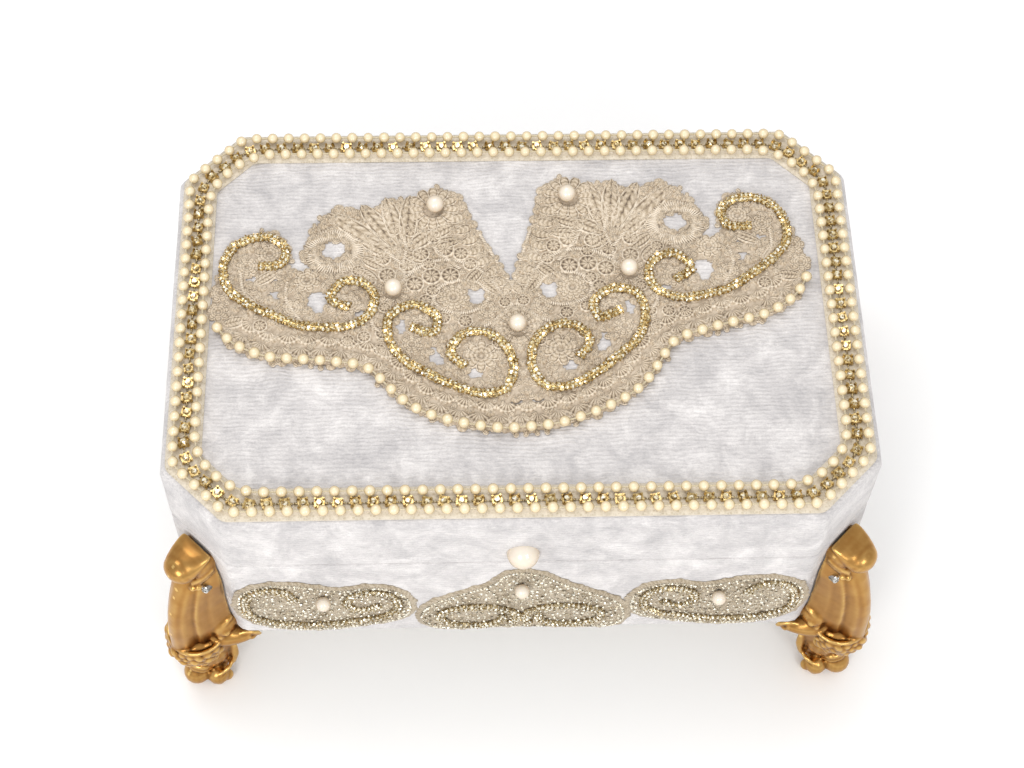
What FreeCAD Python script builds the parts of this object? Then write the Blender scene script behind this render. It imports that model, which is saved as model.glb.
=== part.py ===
"""Velvet-covered trinket box with a hinged lid, cast corner feet and bead trim.

Frame: millimetres, +Z up, the front faces -Y, the origin is on the standing surface
under the middle of the box.  The box is a rectangle with its four corners cut off at
45 degrees.  Every driving size is a cell of the spreadsheet "Sizes".
"""
import FreeCAD, Part
import math
import os

import Sketcher
from FreeCAD import Placement, Rotation, Vector

os.makedirs("parts", exist_ok=True)
doc = FreeCAD.newDocument("TrinketBox")

SIZES = [
    ("box_long", 300.0, "length over the velvet, left to right"),
    ("box_deep", 200.0, "depth over the velvet, front to back"),
    ("corner_cut", 26.0, "leg of each 45 degree corner cut"),
    ("leg_drop", 50.0, "free height under the box"),
    ("body_height", 67.7, "lower box, bottom edge to its rim"),
    ("seam_gap", 0.6, "gap between the closed lid and the lower box"),
    ("lid_height", 36.7, "lid, rim to its top"),
    ("velvet", 1.2, "velvet cover"),
    ("top_round", 4.0, "rounding of the lid's top edge"),
    ("board", 5.0, "wall boards"),
    ("panel", 4.0, "base board and lid top board"),
    ("wadding", 2.9, "wadding over the lid top board"),
    ("base_cloth", 0.8, "cloth glued under the base"),
    ("lining", 0.8, "satin lining of the walls"),
    ("floor_pad", 5.0, "padded floor of the lower box"),
    ("lid_pad", 3.0, "padded ceiling of the lid"),
    ("foot_reach", 27.5, "how far a foot stands out from the cut corner"),
    ("foot_height", 116.5, "foot, sole to the crest of its scroll"),
    ("foot_width", 23.0, "width of a foot's mounting flange"),
    ("flange", 3.0, "thickness of a foot's mounting flange"),
    ("screw_radius", 1.2, "shank of a foot screw"),
    ("screw_head", 2.0, "head of a foot screw"),
    ("screw_length", 8.5, "shank length of a foot screw"),
    ("screw_apart", 17.6, "distance between a foot's two screws"),
    ("screw_level", 95.0, "height of the foot screws"),
    ("tack_radius", 0.9, "shank of a hinge screw"),
    ("tack_head", 1.7, "head of a hinge screw"),
    ("tack_length", 6.0, "shank length of a hinge screw"),
    ("bore_clear", 0.05, "radial clearance of a screw or a stud in its hole"),
    ("leaf", 1.0, "thickness of a hinge leaf"),
    ("leaf_long", 26.0, "length of a hinge"),
    ("leaf_tall", 13.0, "height of one hinge leaf"),
    ("knuckle", 2.7, "outer radius of a hinge knuckle"),
    ("knuckle_gap", 0.3, "gap between two knuckles"),
    ("axis_out", 3.0, "hinge axis behind the velvet of the back"),
    ("pin_radius", 1.2, "hinge pin"),
    ("pin_clear", 0.05, "radial running clearance of the pin"),
    ("hinge_at", 85.0, "middle of a hinge, left or right of the box's middle"),
    ("hinge_relief", 0.35, "room round a knuckle in the other leaf"),
    ("tape", 0.5, "net tape that carries the bead rows"),
    ("tape_outer", 2.5, "outer edge of the tape, in from the box's edge"),
    ("tape_width", 14.6, "width of the net tape"),
    ("pearl", 2.6, "radius of a trim pearl"),
    ("pearl_pitch", 7.2, "spacing of the trim pearls"),
    ("swag_pitch", 7.0, "spacing of the pearls in the swag"),
    ("outer_row", 5.5, "outer pearl row, in from the box's edge"),
    ("inner_row", 14.3, "inner pearl row, in from the box's edge"),
    ("stone_row", 9.9, "rhinestone row, in from the box's edge"),
    ("stone", 1.6, "radius of a border rhinestone cup"),
    ("stone_high", 1.9, "height of a border rhinestone cup"),
    ("lace", 1.0, "thickness of the corded lace"),
    ("chain_width", 3.6, "width of a gold cup-chain scroll"),
    ("chain_high", 2.0, "height of a gold cup-chain scroll"),
    ("front_chain", 2.5, "width of a cup chain on the front face"),
    ("accent", 3.9, "radius of an accent pearl"),
    ("front_pearl", 3.3, "radius of a pearl on the front face"),
    ("trim_x", -0.4, "middle of the lid applique, left to right"),
    ("trim_y", -6.7, "middle of the lid applique, front to back"),
    ("trim_turn", 5.0, "turn of the lid applique, degrees"),
    ("pull", 7.0, "radius of the pearl pull"),
    ("pull_level", 127.0, "height of the pearl pull"),
    ("stud_radius", 1.0, "stud of the pearl pull"),
    ("stud_in", 4.0, "how far the stud goes into the pearl"),
    ("play", 0.03, "free play between glued or sewn pieces that touch on a curve"),
]

sheet = doc.addObject("Spreadsheet::Sheet", "Sizes")
for row, (alias, value, meaning) in enumerate(SIZES, 1):
    sheet.set(f"A{row}", meaning)
    sheet.set(f"B{row}", str(value))
    sheet.setAlias(f"B{row}", alias)
doc.recompute()

# Levels and offsets that follow from the cells, as expressions.
BODY_RIM = "(Sizes.leg_drop + Sizes.body_height)"
LID_RIM = "(Sizes.leg_drop + Sizes.body_height + Sizes.seam_gap)"
LID_TOP = "(Sizes.leg_drop + Sizes.body_height + Sizes.seam_gap + Sizes.lid_height)"
SEAM = "(Sizes.leg_drop + Sizes.body_height + Sizes.seam_gap / 2)"
HINGE_Y = "(Sizes.box_deep / 2 + Sizes.axis_out)"
UNDER_VELVET = "Sizes.velvet"
INSIDE_BOARD = "(Sizes.velvet + Sizes.board)"
TOP_BOARD_UNDER = f"({LID_TOP} - Sizes.velvet - Sizes.wadding - Sizes.panel)"
OCTAGON_TURN = 45.0  # degrees from one side of the box to the next
VERTICAL = Vector(0, 0, 1)
SIDES = ("left", "right")


def value_of(expression):
    """The number that an expression over the spreadsheet gives now."""
    return float(sheet.evalExpression(expression))


def labelled(kind, label):
    """A new document object with its own label."""
    thing = doc.addObject(kind, label)
    thing.Label = label
    return thing


def bind(thing, **expressions):
    """Bind properties to the spreadsheet; Z stands for the height of the placement."""
    for name, expression in expressions.items():
        path = {"X": "Placement.Base.x", "Y": "Placement.Base.y", "Z": "Placement.Base.z"}
        thing.setExpression(path.get(name, name), expression)
    return thing


# ---------------------------------------------------------------- sketches and prisms


def sketch_on(body, role, name):
    """A sketch on one of the body's own origin planes."""
    sketch = body.newObject("Sketcher::SketchObject", name)
    plane = next(item for item in body.Origin.OriginFeatures if item.Role == role)
    sketch.AttachmentSupport = [(plane, "")]
    sketch.MapMode = "FlatFace"
    return sketch


def dimension(sketch, name, expression, *where):
    """Add a named driving distance and bind it to the spreadsheet."""
    kind, *rest = where
    index = sketch.addConstraint(Sketcher.Constraint(kind, *rest, value_of(expression)))
    sketch.renameConstraint(index, name)
    sketch.setExpression(f"Constraints.{name}", expression)


def closed_lines(sketch, corners):
    """Lines through the corners, joined end to end; returns the first line's number."""
    first = sketch.GeometryCount
    count = len(corners)
    for i in range(count):
        start, end = Vector(*corners[i], 0), Vector(*corners[(i + 1) % count], 0)
        sketch.addGeometry(Part.LineSegment(start, end), False)
    for i in range(count):
        following = first + (i + 1) % count
        sketch.addConstraint(Sketcher.Constraint("Coincident", first + i, 2, following, 1))
    return first


def octagon_expressions(inset):
    """Half length, half depth and corner leg of the box's outline moved inwards."""
    half_long = f"Sizes.box_long / 2 - {inset}"
    half_deep = f"Sizes.box_deep / 2 - {inset}"
    corner = f"Sizes.corner_cut - (2 - sqrt(2)) * {inset}"
    return half_long, half_deep, corner


def octagon_corners(inset):
    """The eight corners of the outline moved inwards, counter-clockwise from the front."""
    half_long, half_deep, corner = (value_of(e) for e in octagon_expressions(inset))
    flat, deep = half_long - corner, half_deep - corner
    return [
        (-flat, -half_deep), (flat, -half_deep), (half_long, -deep), (half_long, deep),
        (flat, half_deep), (-flat, half_deep), (-half_long, deep), (-half_long, -deep),
    ]


def add_octagon(sketch, inset, prefix):
    """The box's outline, moved inwards, as eight fully constrained lines."""
    half_long, half_deep, corner = octagon_expressions(inset)
    first = closed_lines(sketch, octagon_corners(inset))
    front, right, back, left = first, first + 2, first + 4, first + 6
    for line in (front, back):
        sketch.addConstraint(Sketcher.Constraint("Symmetric", line, 1, line, 2, -2))
    for line in (right, left):
        sketch.addConstraint(Sketcher.Constraint("Symmetric", line, 1, line, 2, -1))
    dimension(sketch, prefix + "right", half_long, "DistanceX", -1, 1, right, 1)
    dimension(sketch, prefix + "left", half_long, "DistanceX", left, 1, -1, 1)
    dimension(sketch, prefix + "back", half_deep, "DistanceY", -1, 1, back, 1)
    dimension(sketch, prefix + "front", half_deep, "DistanceY", front, 1, -1, 1)
    long_side = f"2 * ({half_long} - ({corner}))"
    deep_side = f"2 * ({half_deep} - ({corner}))"
    dimension(sketch, prefix + "long_side", long_side, "DistanceX", front, 1, front, 2)
    dimension(sketch, prefix + "deep_side", deep_side, "DistanceY", right, 1, right, 2)
    sketch.addConstraint(Sketcher.Constraint("Equal", front, back))
    sketch.addConstraint(Sketcher.Constraint("Equal", right, left))


def pad(body, sketch, length, name="Pad"):
    feature = body.newObject("PartDesign::Pad", name)
    feature.Profile = sketch
    feature.setExpression("Length", length)
    body.Tip = feature
    return feature


def octagon_plate(label, inset, bottom, thickness):
    """A flat eight-sided sheet."""
    body = labelled("PartDesign::Body", label)
    sketch = sketch_on(body, "XY_Plane", label + "_outline")
    add_octagon(sketch, inset, "")
    pad(body, sketch, thickness, label + "_pad")
    return bind(body, Z=bottom)


def octagon_ring(label, outer, inner, bottom, height):
    """An eight-sided tube between two insets."""
    body = labelled("PartDesign::Body", label)
    sketch = sketch_on(body, "XY_Plane", label + "_outline")
    add_octagon(sketch, outer, "outer_")
    add_octagon(sketch, inner, "inner_")
    pad(body, sketch, height, label + "_pad")
    return bind(body, Z=bottom)


def edges_where(feature, test):
    """Names of the feature's edges whose middle point and direction pass the test."""
    names = []
    for i, edge in enumerate(feature.Shape.Edges, 1):
        middle = edge.valueAt((edge.FirstParameter + edge.LastParameter) / 2)
        upright = abs(edge.tangentAt(edge.FirstParameter).z) > math.sqrt(0.5)
        if test(middle, upright):
            names.append(f"Edge{i}")
    return names


def fillet(body, base, names, radius, name):
    feature = body.newObject("PartDesign::Fillet", name)
    feature.Base = (base, names)
    feature.setExpression("Radius", radius)
    body.Tip = feature
    return feature


# ---------------------------------------------------------------- cylinders and cuts


def cylinder(name, radius, height, position, direction, start=0.0):
    """A cylinder from a point along a direction, its sizes bound to the sheet."""
    thing = labelled("Part::Cylinder", name)
    bind(thing, Radius=radius, Height=height)
    base = Vector(*position) + Vector(*direction) * start
    thing.Placement = Placement(base, Rotation(VERTICAL, Vector(*direction)))
    return thing


def compound(label, links):
    thing = labelled("Part::Compound", label)
    thing.Links = links
    return thing


def cut(label, base, tool):
    thing = labelled("Part::Cut", label)
    thing.Base = base
    thing.Tool = tool
    return thing


def fuse(label, shapes):
    thing = labelled("Part::MultiFuse", label)
    thing.Shapes = shapes
    return thing


def screws(label, places, radius, head, length):
    """Pan-head screws whose heads rest at the places; each place is (point, inwards)."""
    made = []
    for i, (point, inwards) in enumerate(places, 1):
        outwards = tuple(-part for part in inwards)
        shank = cylinder(f"{label}_shank_{i}", radius, length, point, inwards)
        cap = cylinder(f"{label}_cap_{i}", head, f"{radius}", point, outwards)
        made.append(fuse(f"{label}_{i}", [shank, cap]))
    return compound(label, made)


def screw_holes(label, places, radius, length):
    """The holes that the screws pass through, a little wider and deeper than the shanks."""
    made = []
    for i, (point, inwards) in enumerate(places, 1):
        hole = cylinder(
            f"{label}_{i}", f"{radius} + Sizes.bore_clear", f"{length} + 2", point, inwards, -1.0
        )
        made.append(hole)
    return compound(label, made)


# ---------------------------------------------------------------- places of fasteners

FOOT_ANGLES = {
    "front_left": 225.0,
    "front_right": 315.0,
    "rear_right": 45.0,
    "rear_left": 135.0,
}


def corner_centre(angle):
    """The middle of a cut corner's velvet face, and the unit vector out of it."""
    out = Vector(math.cos(math.radians(angle)), math.sin(math.radians(angle)), 0)
    reach_x = value_of("Sizes.box_long / 2 - Sizes.corner_cut / 2")
    reach_y = value_of("Sizes.box_deep / 2 - Sizes.corner_cut / 2")
    return Vector(math.copysign(reach_x, out.x), math.copysign(reach_y, out.y), 0), out


def foot_screw_places():
    places = []
    for angle in FOOT_ANGLES.values():
        centre, out = corner_centre(angle)
        across = VERTICAL.cross(out)
        for side in (-0.5, 0.5):
            point = centre + out * value_of("Sizes.flange")
            point += across * side * value_of("Sizes.screw_apart")
            point.z = value_of("Sizes.screw_level")
            places.append((tuple(point), tuple(out * -1)))
    return places


HINGE_SCREW_ALONG, HINGE_SCREW_UP = 0.32, 0.62  # shares of a leaf's length and height


def hinge_screw_places(above):
    """Two screws in each leaf; above is +1 for the lid's leaves and -1 for the body's."""
    places = []
    for side in (-1, 1):
        for end in (-1, 1):
            x = side * value_of("Sizes.hinge_at") + end * value_of("Sizes.leaf_long") * HINGE_SCREW_ALONG
            y = value_of("Sizes.box_deep / 2 + Sizes.leaf")
            z = value_of(SEAM) + above * value_of("Sizes.leaf_tall") * HINGE_SCREW_UP
            places.append(((x, y, z), (0, -1, 0)))
    return places


FOOT_SCREWS = foot_screw_places()
BODY_HINGE_SCREWS = hinge_screw_places(-1)
LID_HINGE_SCREWS = hinge_screw_places(1)

foot_holes = screw_holes("foot_screw_holes", FOOT_SCREWS, "Sizes.screw_radius", "Sizes.screw_length")
body_hinge_holes = screw_holes(
    "body_hinge_screw_holes", BODY_HINGE_SCREWS, "Sizes.tack_radius", "Sizes.tack_length"
)
lid_hinge_holes = screw_holes(
    "lid_hinge_screw_holes", LID_HINGE_SCREWS, "Sizes.tack_radius", "Sizes.tack_length"
)
front_y = -value_of("Sizes.box_deep / 2")
pull_point = (0.0, front_y, value_of("Sizes.pull_level"))
STUD_DEPTH = "(Sizes.velvet + Sizes.board)"
pull_hole = cylinder(
    "pull_hole", "Sizes.stud_radius + Sizes.bore_clear", f"{STUD_DEPTH} + 2", pull_point, (0, 1, 0), -1.0
)


# ---------------------------------------------------------------- wall boards


def mitred_board(label, outer_length, bottom, height, angle, distance):
    """One wall board, mitred at both ends; its outer face is at a distance from the middle."""
    body = labelled("PartDesign::Body", label)
    sketch = sketch_on(body, "XY_Plane", label + "_plan")
    mitre = f"Sizes.board * tan({OCTAGON_TURN / 2})"
    half, depth = value_of(outer_length) / 2, value_of("Sizes.board")
    short = half - value_of(mitre)
    first = closed_lines(sketch, [(-half, 0), (-short, -depth), (short, -depth), (half, 0)])
    inner, outer = first + 1, first + 3
    sketch.addConstraint(Sketcher.Constraint("Symmetric", inner, 1, inner, 2, -2))
    sketch.addConstraint(Sketcher.Constraint("Symmetric", outer, 1, outer, 2, -2))
    sketch.addConstraint(Sketcher.Constraint("PointOnObject", outer, 1, -1))
    dimension(sketch, "outside", outer_length, "DistanceX", outer, 2, outer, 1)
    dimension(sketch, "inside", f"{outer_length} - 2 * {mitre}", "DistanceX", inner, 1, inner, 2)
    dimension(sketch, "depth", "Sizes.board", "DistanceY", inner, 1, -1, 1)
    pad(body, sketch, height, label + "_pad")
    out = Vector(math.cos(math.radians(angle)), math.sin(math.radians(angle)), 0)
    body.Placement = Placement(out * value_of(distance), Rotation(VERTICAL, angle - 90.0))
    return bind(body, Z=bottom)


def wall_boards(prefix, bottom, height):
    """The four long boards and the four corner boards under the velvet."""
    half_long, half_deep, corner = octagon_expressions(UNDER_VELVET)
    long_side = f"2 * ({half_long} - ({corner}))"
    deep_side = f"2 * ({half_deep} - ({corner}))"
    boards = {
        "front": mitred_board(prefix + "_front_board", long_side, bottom, height, 270.0, half_deep),
        "back": mitred_board(prefix + "_back_board", long_side, bottom, height, 90.0, half_deep),
        "left": mitred_board(prefix + "_left_board", deep_side, bottom, height, 180.0, half_long),
        "right": mitred_board(prefix + "_right_board", deep_side, bottom, height, 0.0, half_long),
    }
    slant = f"({corner}) * sqrt(2)"
    corners = []
    for name, angle in FOOT_ANGLES.items():
        board = mitred_board(f"{prefix}_{name}_corner", slant, bottom, height, angle, "0")
        centre, out = corner_centre(angle)
        board.Placement.Base = centre - out * value_of(UNDER_VELVET)
        corners.append(bind(board, Z=bottom))
    return boards, compound(prefix + "_corner_boards_set", corners)


# ---------------------------------------------------------------- lower box

WALL_BOTTOM = "(Sizes.leg_drop + Sizes.base_cloth)"
FLOOR_TOP = f"({WALL_BOTTOM} + Sizes.panel)"


def lower_box():
    height = f"{BODY_RIM} - {WALL_BOTTOM}"
    boards, corners = wall_boards("body", WALL_BOTTOM, height)
    boards["back"].Label = "body_back_board_blank"
    corners.Label = "body_corner_boards_blank"
    nodes = [boards["front"], boards["left"], boards["right"]]
    nodes.append(cut("body_back_board", boards["back"], body_hinge_holes))
    nodes.append(cut("body_corner_boards", corners, foot_holes))
    nodes.append(octagon_plate("base_board", INSIDE_BOARD, WALL_BOTTOM, "Sizes.panel"))
    nodes.append(octagon_plate("base_cloth", "0", "Sizes.leg_drop", "Sizes.base_cloth"))
    skin = octagon_ring("body_velvet_blank", "0", UNDER_VELVET, WALL_BOTTOM, height)
    holes = compound("body_velvet_holes", [foot_holes, body_hinge_holes])
    nodes.append(cut("body_velvet_cover", skin, holes))
    lined = f"({INSIDE_BOARD} + Sizes.lining)"
    nodes.append(octagon_ring("body_lining", INSIDE_BOARD, lined, FLOOR_TOP, f"{BODY_RIM} - {FLOOR_TOP}"))
    nodes.append(octagon_plate("floor_pad", f"({lined} + Sizes.play)", FLOOR_TOP, "Sizes.floor_pad"))
    return nodes


# ---------------------------------------------------------------- lid


def lid_velvet():
    """The velvet over the lid: a cap with a rounded top edge, hollow underneath."""
    body = labelled("PartDesign::Body", "lid_velvet_blank")
    outline = sketch_on(body, "XY_Plane", "lid_velvet_outline")
    add_octagon(outline, "0", "")
    block = pad(body, outline, "Sizes.lid_height", "lid_velvet_block")
    doc.recompute()
    top = value_of("Sizes.lid_height")
    edges = edges_where(block, lambda point, upright: not upright and point.z > top / 2)
    rounded = fillet(body, block, edges, "Sizes.top_round", "lid_velvet_round")
    doc.recompute()
    before = rounded.Shape.Volume
    inside = sketch_on(body, "XY_Plane", "lid_velvet_inside")
    add_octagon(inside, UNDER_VELVET, "")
    pocket = body.newObject("PartDesign::Pocket", "lid_velvet_pocket")
    pocket.Profile = inside
    pocket.Reversed = True
    pocket.setExpression("Length", "Sizes.lid_height - Sizes.velvet")
    body.Tip = pocket
    doc.recompute()
    if pocket.Shape.Volume > 0.5 * before:
        raise RuntimeError("the lid velvet's pocket removed nothing")
    ceiling = value_of("Sizes.lid_height - Sizes.velvet")
    edges = edges_where(pocket, lambda point, upright: not upright and abs(point.z - ceiling) < 0.01)
    fillet(body, pocket, edges, "Sizes.top_round - Sizes.velvet", "lid_velvet_inner_round")
    bind(body, Z=LID_RIM)
    holes = compound("lid_velvet_holes", [lid_hinge_holes, pull_hole])
    return cut("lid_velvet_cover", body, holes)


def lid_wadding():
    """The thin wadding that softens the lid's top edge."""
    body = labelled("PartDesign::Body", "lid_wadding")
    outline = sketch_on(body, "XY_Plane", "lid_wadding_outline")
    add_octagon(outline, "Sizes.top_round", "")
    pad(body, outline, "Sizes.wadding", "lid_wadding_pad")
    return bind(body, Z=f"{LID_TOP} - Sizes.velvet - Sizes.wadding")


def lid():
    height = f"{TOP_BOARD_UNDER} - {LID_RIM}"
    boards, corners = wall_boards("lid", LID_RIM, height)
    boards["back"].Label = "lid_back_board_blank"
    boards["front"].Label = "lid_front_board_blank"
    corners.Label = "lid_corner_boards"
    nodes = [boards["left"], boards["right"], corners]
    nodes.append(cut("lid_back_board", boards["back"], lid_hinge_holes))
    nodes.append(cut("lid_front_board", boards["front"], pull_hole))
    nodes.append(octagon_plate("lid_top_board", UNDER_VELVET, TOP_BOARD_UNDER, "Sizes.panel"))
    nodes.append(lid_wadding())
    nodes.append(lid_velvet())
    lined = f"({INSIDE_BOARD} + Sizes.lining)"
    nodes.append(octagon_ring("lid_lining", INSIDE_BOARD, lined, LID_RIM, height))
    under = f"{TOP_BOARD_UNDER} - Sizes.lid_pad"
    nodes.append(octagon_plate("lid_inner_pad", f"({lined} + Sizes.play)", under, "Sizes.lid_pad"))
    return nodes


# ---------------------------------------------------------------- feet

# Cross-sections of a foot's leg: height and width as shares of the foot, back and front
# as shares of its reach, all measured from the middle of the cut corner's face.
LEG_SECTIONS = [
    (0.000, 0.24, 0.78, 0.30),
    (0.060, 0.12, 0.84, 0.40),
    (0.140, 0.14, 0.78, 0.38),
    (0.230, 0.04, 0.93, 0.45),
    (0.320, -0.02, 1.00, 0.50),
    (0.425, 0.02, 0.99, 0.47),
    (0.520, 0.02, 0.94, 0.42),
    (0.660, 0.02, 0.85, 0.36),
    (0.790, 0.02, 0.64, 0.29),
    (0.880, 0.02, 0.42, 0.26),
    (0.920, 0.02, 0.40, 0.26),
]


def leg_section(label, share):
    """One elliptical cross-section of the leg."""
    level, back, front, half_width = share
    depth = f"Sizes.foot_reach * {(front - back) / 2}"
    width = f"Sizes.foot_width * {half_width}"
    section = labelled("Part::Ellipse", label)
    middle = f"Sizes.foot_reach * {(front + back) / 2}"
    if value_of(depth) >= value_of(width):
        bind(section, MajorRadius=depth, MinorRadius=width)
    else:
        section.Placement = Placement(Vector(), Rotation(VERTICAL, 90))
        bind(section, MajorRadius=width, MinorRadius=depth)
    return bind(section, X=middle, Z=f"Sizes.foot_height * {level}")


def ellipsoid(label, place, radii):
    """A closed ellipsoid; place and radii are (out, across, up) expressions."""
    out, across, up = radii
    thing = labelled("Part::Ellipsoid", label)
    thing.Angle1, thing.Angle2, thing.Angle3 = -90, 90, 360
    bind(thing, Radius2=out, Radius3=across, Radius1=up)
    return bind(thing, X=place[0], Y=place[1], Z=place[2])


def bracket(label, side):
    """The leaf-shaped bracket that reaches from the leg along the box's bottom edge."""
    thing = labelled("Part::Cone", label)
    bind(thing, Radius1="Sizes.foot_width * 0.20", Radius2="Sizes.foot_width * 0.09")
    start = Vector(value_of("Sizes.foot_reach * 0.36"), 0, 0)
    end = Vector(value_of("Sizes.foot_reach * -0.17"), side * value_of("Sizes.foot_width * 0.86"), 0)
    thing.Height = (end - start).Length
    thing.Placement = Placement(start, Rotation(VERTICAL, end - start))
    return bind(thing, Z="Sizes.leg_drop - Sizes.foot_width * 0.205")


def foot_shape(label):
    """A cast cabriole foot in its own frame: X out of the corner, Y across, Z up."""
    sections = [leg_section(f"{label}_section_{i}", share) for i, share in enumerate(LEG_SECTIONS, 1)]
    leg = labelled("Part::Loft", label + "_leg")
    leg.Sections = sections
    leg.Solid = True
    flange = labelled("Part::Box", label + "_flange")
    bind(flange, Length="Sizes.flange", Width="Sizes.foot_width", Height="Sizes.foot_height * 0.52")
    bind(flange, Y="-Sizes.foot_width / 2", Z="Sizes.foot_height * 0.445")
    scroll = ellipsoid(
        label + "_scroll",
        ("Sizes.foot_reach * 0.36", "0", "Sizes.foot_height - Sizes.foot_reach * 0.25"),
        ("Sizes.foot_reach * 0.345", "Sizes.foot_width * 0.39", "Sizes.foot_reach * 0.25"),
    )
    toes = []
    for i, (out, across, size) in enumerate(((0.68, 0.0, 0.20), (0.48, 0.30, 0.16), (0.48, -0.30, 0.16))):
        radius = f"Sizes.foot_reach * {size}"
        place = (f"Sizes.foot_reach * {out}", f"Sizes.foot_width * {across}", radius)
        toes.append(ellipsoid(f"{label}_toe_{i}", place, (radius, radius, radius)))
    brackets = [bracket(f"{label}_bracket_{i}", side) for i, side in enumerate((-1, 1))]
    return fuse(label + "_casting", [leg, flange, scroll, *toes, *brackets])


def feet():
    nodes = []
    for name, angle in FOOT_ANGLES.items():
        casting = foot_shape("foot_" + name)
        centre, _ = corner_centre(angle)
        casting.Placement = Placement(centre, Rotation(VERTICAL, angle))
        nodes.append(cut("foot_" + name, casting, foot_holes))
    nodes.append(
        screws("foot_screws", FOOT_SCREWS, "Sizes.screw_radius", "Sizes.screw_head", "Sizes.screw_length")
    )
    return nodes


# ---------------------------------------------------------------- hinges


def knuckle_barrel(label, start, length, middle, extra="0"):
    """A stretch of the hinge's barrel; start and length are shares of the hinge."""
    whole = value_of("Sizes.leaf_long")
    at = (middle + start * whole, value_of(HINGE_Y), value_of(SEAM))
    return cylinder(label, f"Sizes.knuckle + {extra}", f"Sizes.leaf_long * {length}", at, (1, 0, 0))


def hinge_leaf(label, middle, above, stretches, others, holes):
    """A leaf: a plate with its knuckles, relieved around the other leaf's knuckles."""
    whole = value_of("Sizes.leaf_long")
    plate = labelled("Part::Box", label + "_plate")
    bind(plate, Length="Sizes.leaf_long", Width="Sizes.leaf", Height="Sizes.leaf_tall")
    bind(plate, X=f"{middle} - Sizes.leaf_long / 2", Y="Sizes.box_deep / 2")
    bind(plate, Z=SEAM if above > 0 else f"{SEAM} - Sizes.leaf_tall")
    barrels = []
    webs = []
    gap = value_of("Sizes.knuckle_gap") / whole
    for i, (start, length) in enumerate(stretches):
        trimmed = length - (gap if length < 0.5 else 0)
        barrels.append(knuckle_barrel(f"{label}_barrel_{i}", start, trimmed, middle))
        web = labelled("Part::Box", f"{label}_web_{i}")
        bind(web, Length=f"Sizes.leaf_long * {trimmed}", Width="Sizes.axis_out", Height="Sizes.knuckle")
        bind(web, X=f"{middle} + Sizes.leaf_long * {start}", Y="Sizes.box_deep / 2")
        bind(web, Z=SEAM if above > 0 else f"{SEAM} - Sizes.knuckle")
        webs.append(web)
    solid = fuse(label + "_blank", [plate, *barrels, *webs])
    tools = [holes]
    bore = "Sizes.pin_radius + Sizes.pin_clear"
    pin_line = (middle - whole, value_of(HINGE_Y), value_of(SEAM))
    tools.append(cylinder(label + "_bore", bore, "Sizes.leaf_long * 2", pin_line, (1, 0, 0)))
    for i, (start, length) in enumerate(others):
        tools.append(knuckle_barrel(
            f"{label}_relief_{i}", start - gap, length + gap, middle, "Sizes.hinge_relief"
        ))
    return cut(label, solid, compound(label + "_tools", tools))


# Knuckles as (start from the hinge's middle, length), in shares of the hinge's length.
BODY_KNUCKLES = [(-0.5, 0.33), (0.1815, 0.3185)]
LID_KNUCKLES = [(-0.1585, 0.34)]


def hinges():
    nodes = {"body": [], "lid": []}
    for name, side in zip(SIDES, (-1, 1)):
        middle = side * value_of("Sizes.hinge_at")
        nodes["body"].append(
            hinge_leaf(
                f"hinge_body_leaf_{name}", middle, -1, BODY_KNUCKLES, LID_KNUCKLES, body_hinge_holes
            )
        )
        nodes["lid"].append(
            hinge_leaf(f"hinge_lid_leaf_{name}", middle, 1, LID_KNUCKLES, BODY_KNUCKLES, lid_hinge_holes)
        )
        start = (middle - value_of("Sizes.leaf_long") / 2, value_of(HINGE_Y), value_of(SEAM))
        pin = cylinder(f"hinge_pin_{name}", "Sizes.pin_radius", "Sizes.leaf_long", start, (1, 0, 0))
        nodes["body"].append(pin)
    tack = ("Sizes.tack_radius", "Sizes.tack_head", "Sizes.tack_length")
    nodes["body"].append(screws("hinge_screws_body", BODY_HINGE_SCREWS, *tack))
    nodes["lid"].append(screws("hinge_screws_lid", LID_HINGE_SCREWS, *tack))
    return nodes["body"] + nodes["lid"]


# ---------------------------------------------------------------- bead trim on the lid


def rounded_outline(inset, radius):
    """The box's outline moved inwards, with its eight corners rounded, as one wire."""
    corners = [Vector(*corner, 0) for corner in octagon_corners(str(inset))]
    trim = radius * math.tan(math.radians(OCTAGON_TURN / 2))
    edges = []
    count = len(corners)
    for i, corner in enumerate(corners):
        before, after = corners[i - 1], corners[(i + 1) % count]
        into = corner + (before - corner).normalize() * trim
        away = corner + (after - corner).normalize() * trim
        inward = ((into + away) * 0.5 - corner).normalize()
        sagitta = radius / math.cos(math.radians(OCTAGON_TURN / 2)) - radius
        edges.append(Part.Arc(into, corner + inward * sagitta, away).toShape())
        back = (corner - after).normalize() * trim
        edges.append(Part.LineSegment(away, after + back).toShape())
    return Part.Wire(edges)


def spaced_points(wire, pitch):
    """Points evenly spaced along a wire, about a pitch apart."""
    count = round(wire.Length / pitch)
    if wire.isClosed():
        return wire.discretize(Number=count + 1)[:-1]
    return wire.discretize(Number=count + 1)


def shape_node(label, shape):
    """A node whose shape is worked out here, because no primitive follows a bead row."""
    node = labelled("Part::Feature", label)
    node.Shape = shape
    return node


def bead_row(label, points, radius, level):
    """Separate round beads with their centres over the points."""
    beads = [Part.makeSphere(radius, Vector(p.x, p.y, level)) for p in points]
    return shape_node(label, Part.makeCompound(beads))


OUTER_CORNER = 9.0  # rounding of the outer bead row's corners
INNER_CORNER = 26.0  # rounding of the inner bead row's corners
STONE_CORNER = 18.0  # rounding of the rhinestone row's corners
TOP = value_of(LID_TOP)
PLAY = value_of("Sizes.play")


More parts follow.
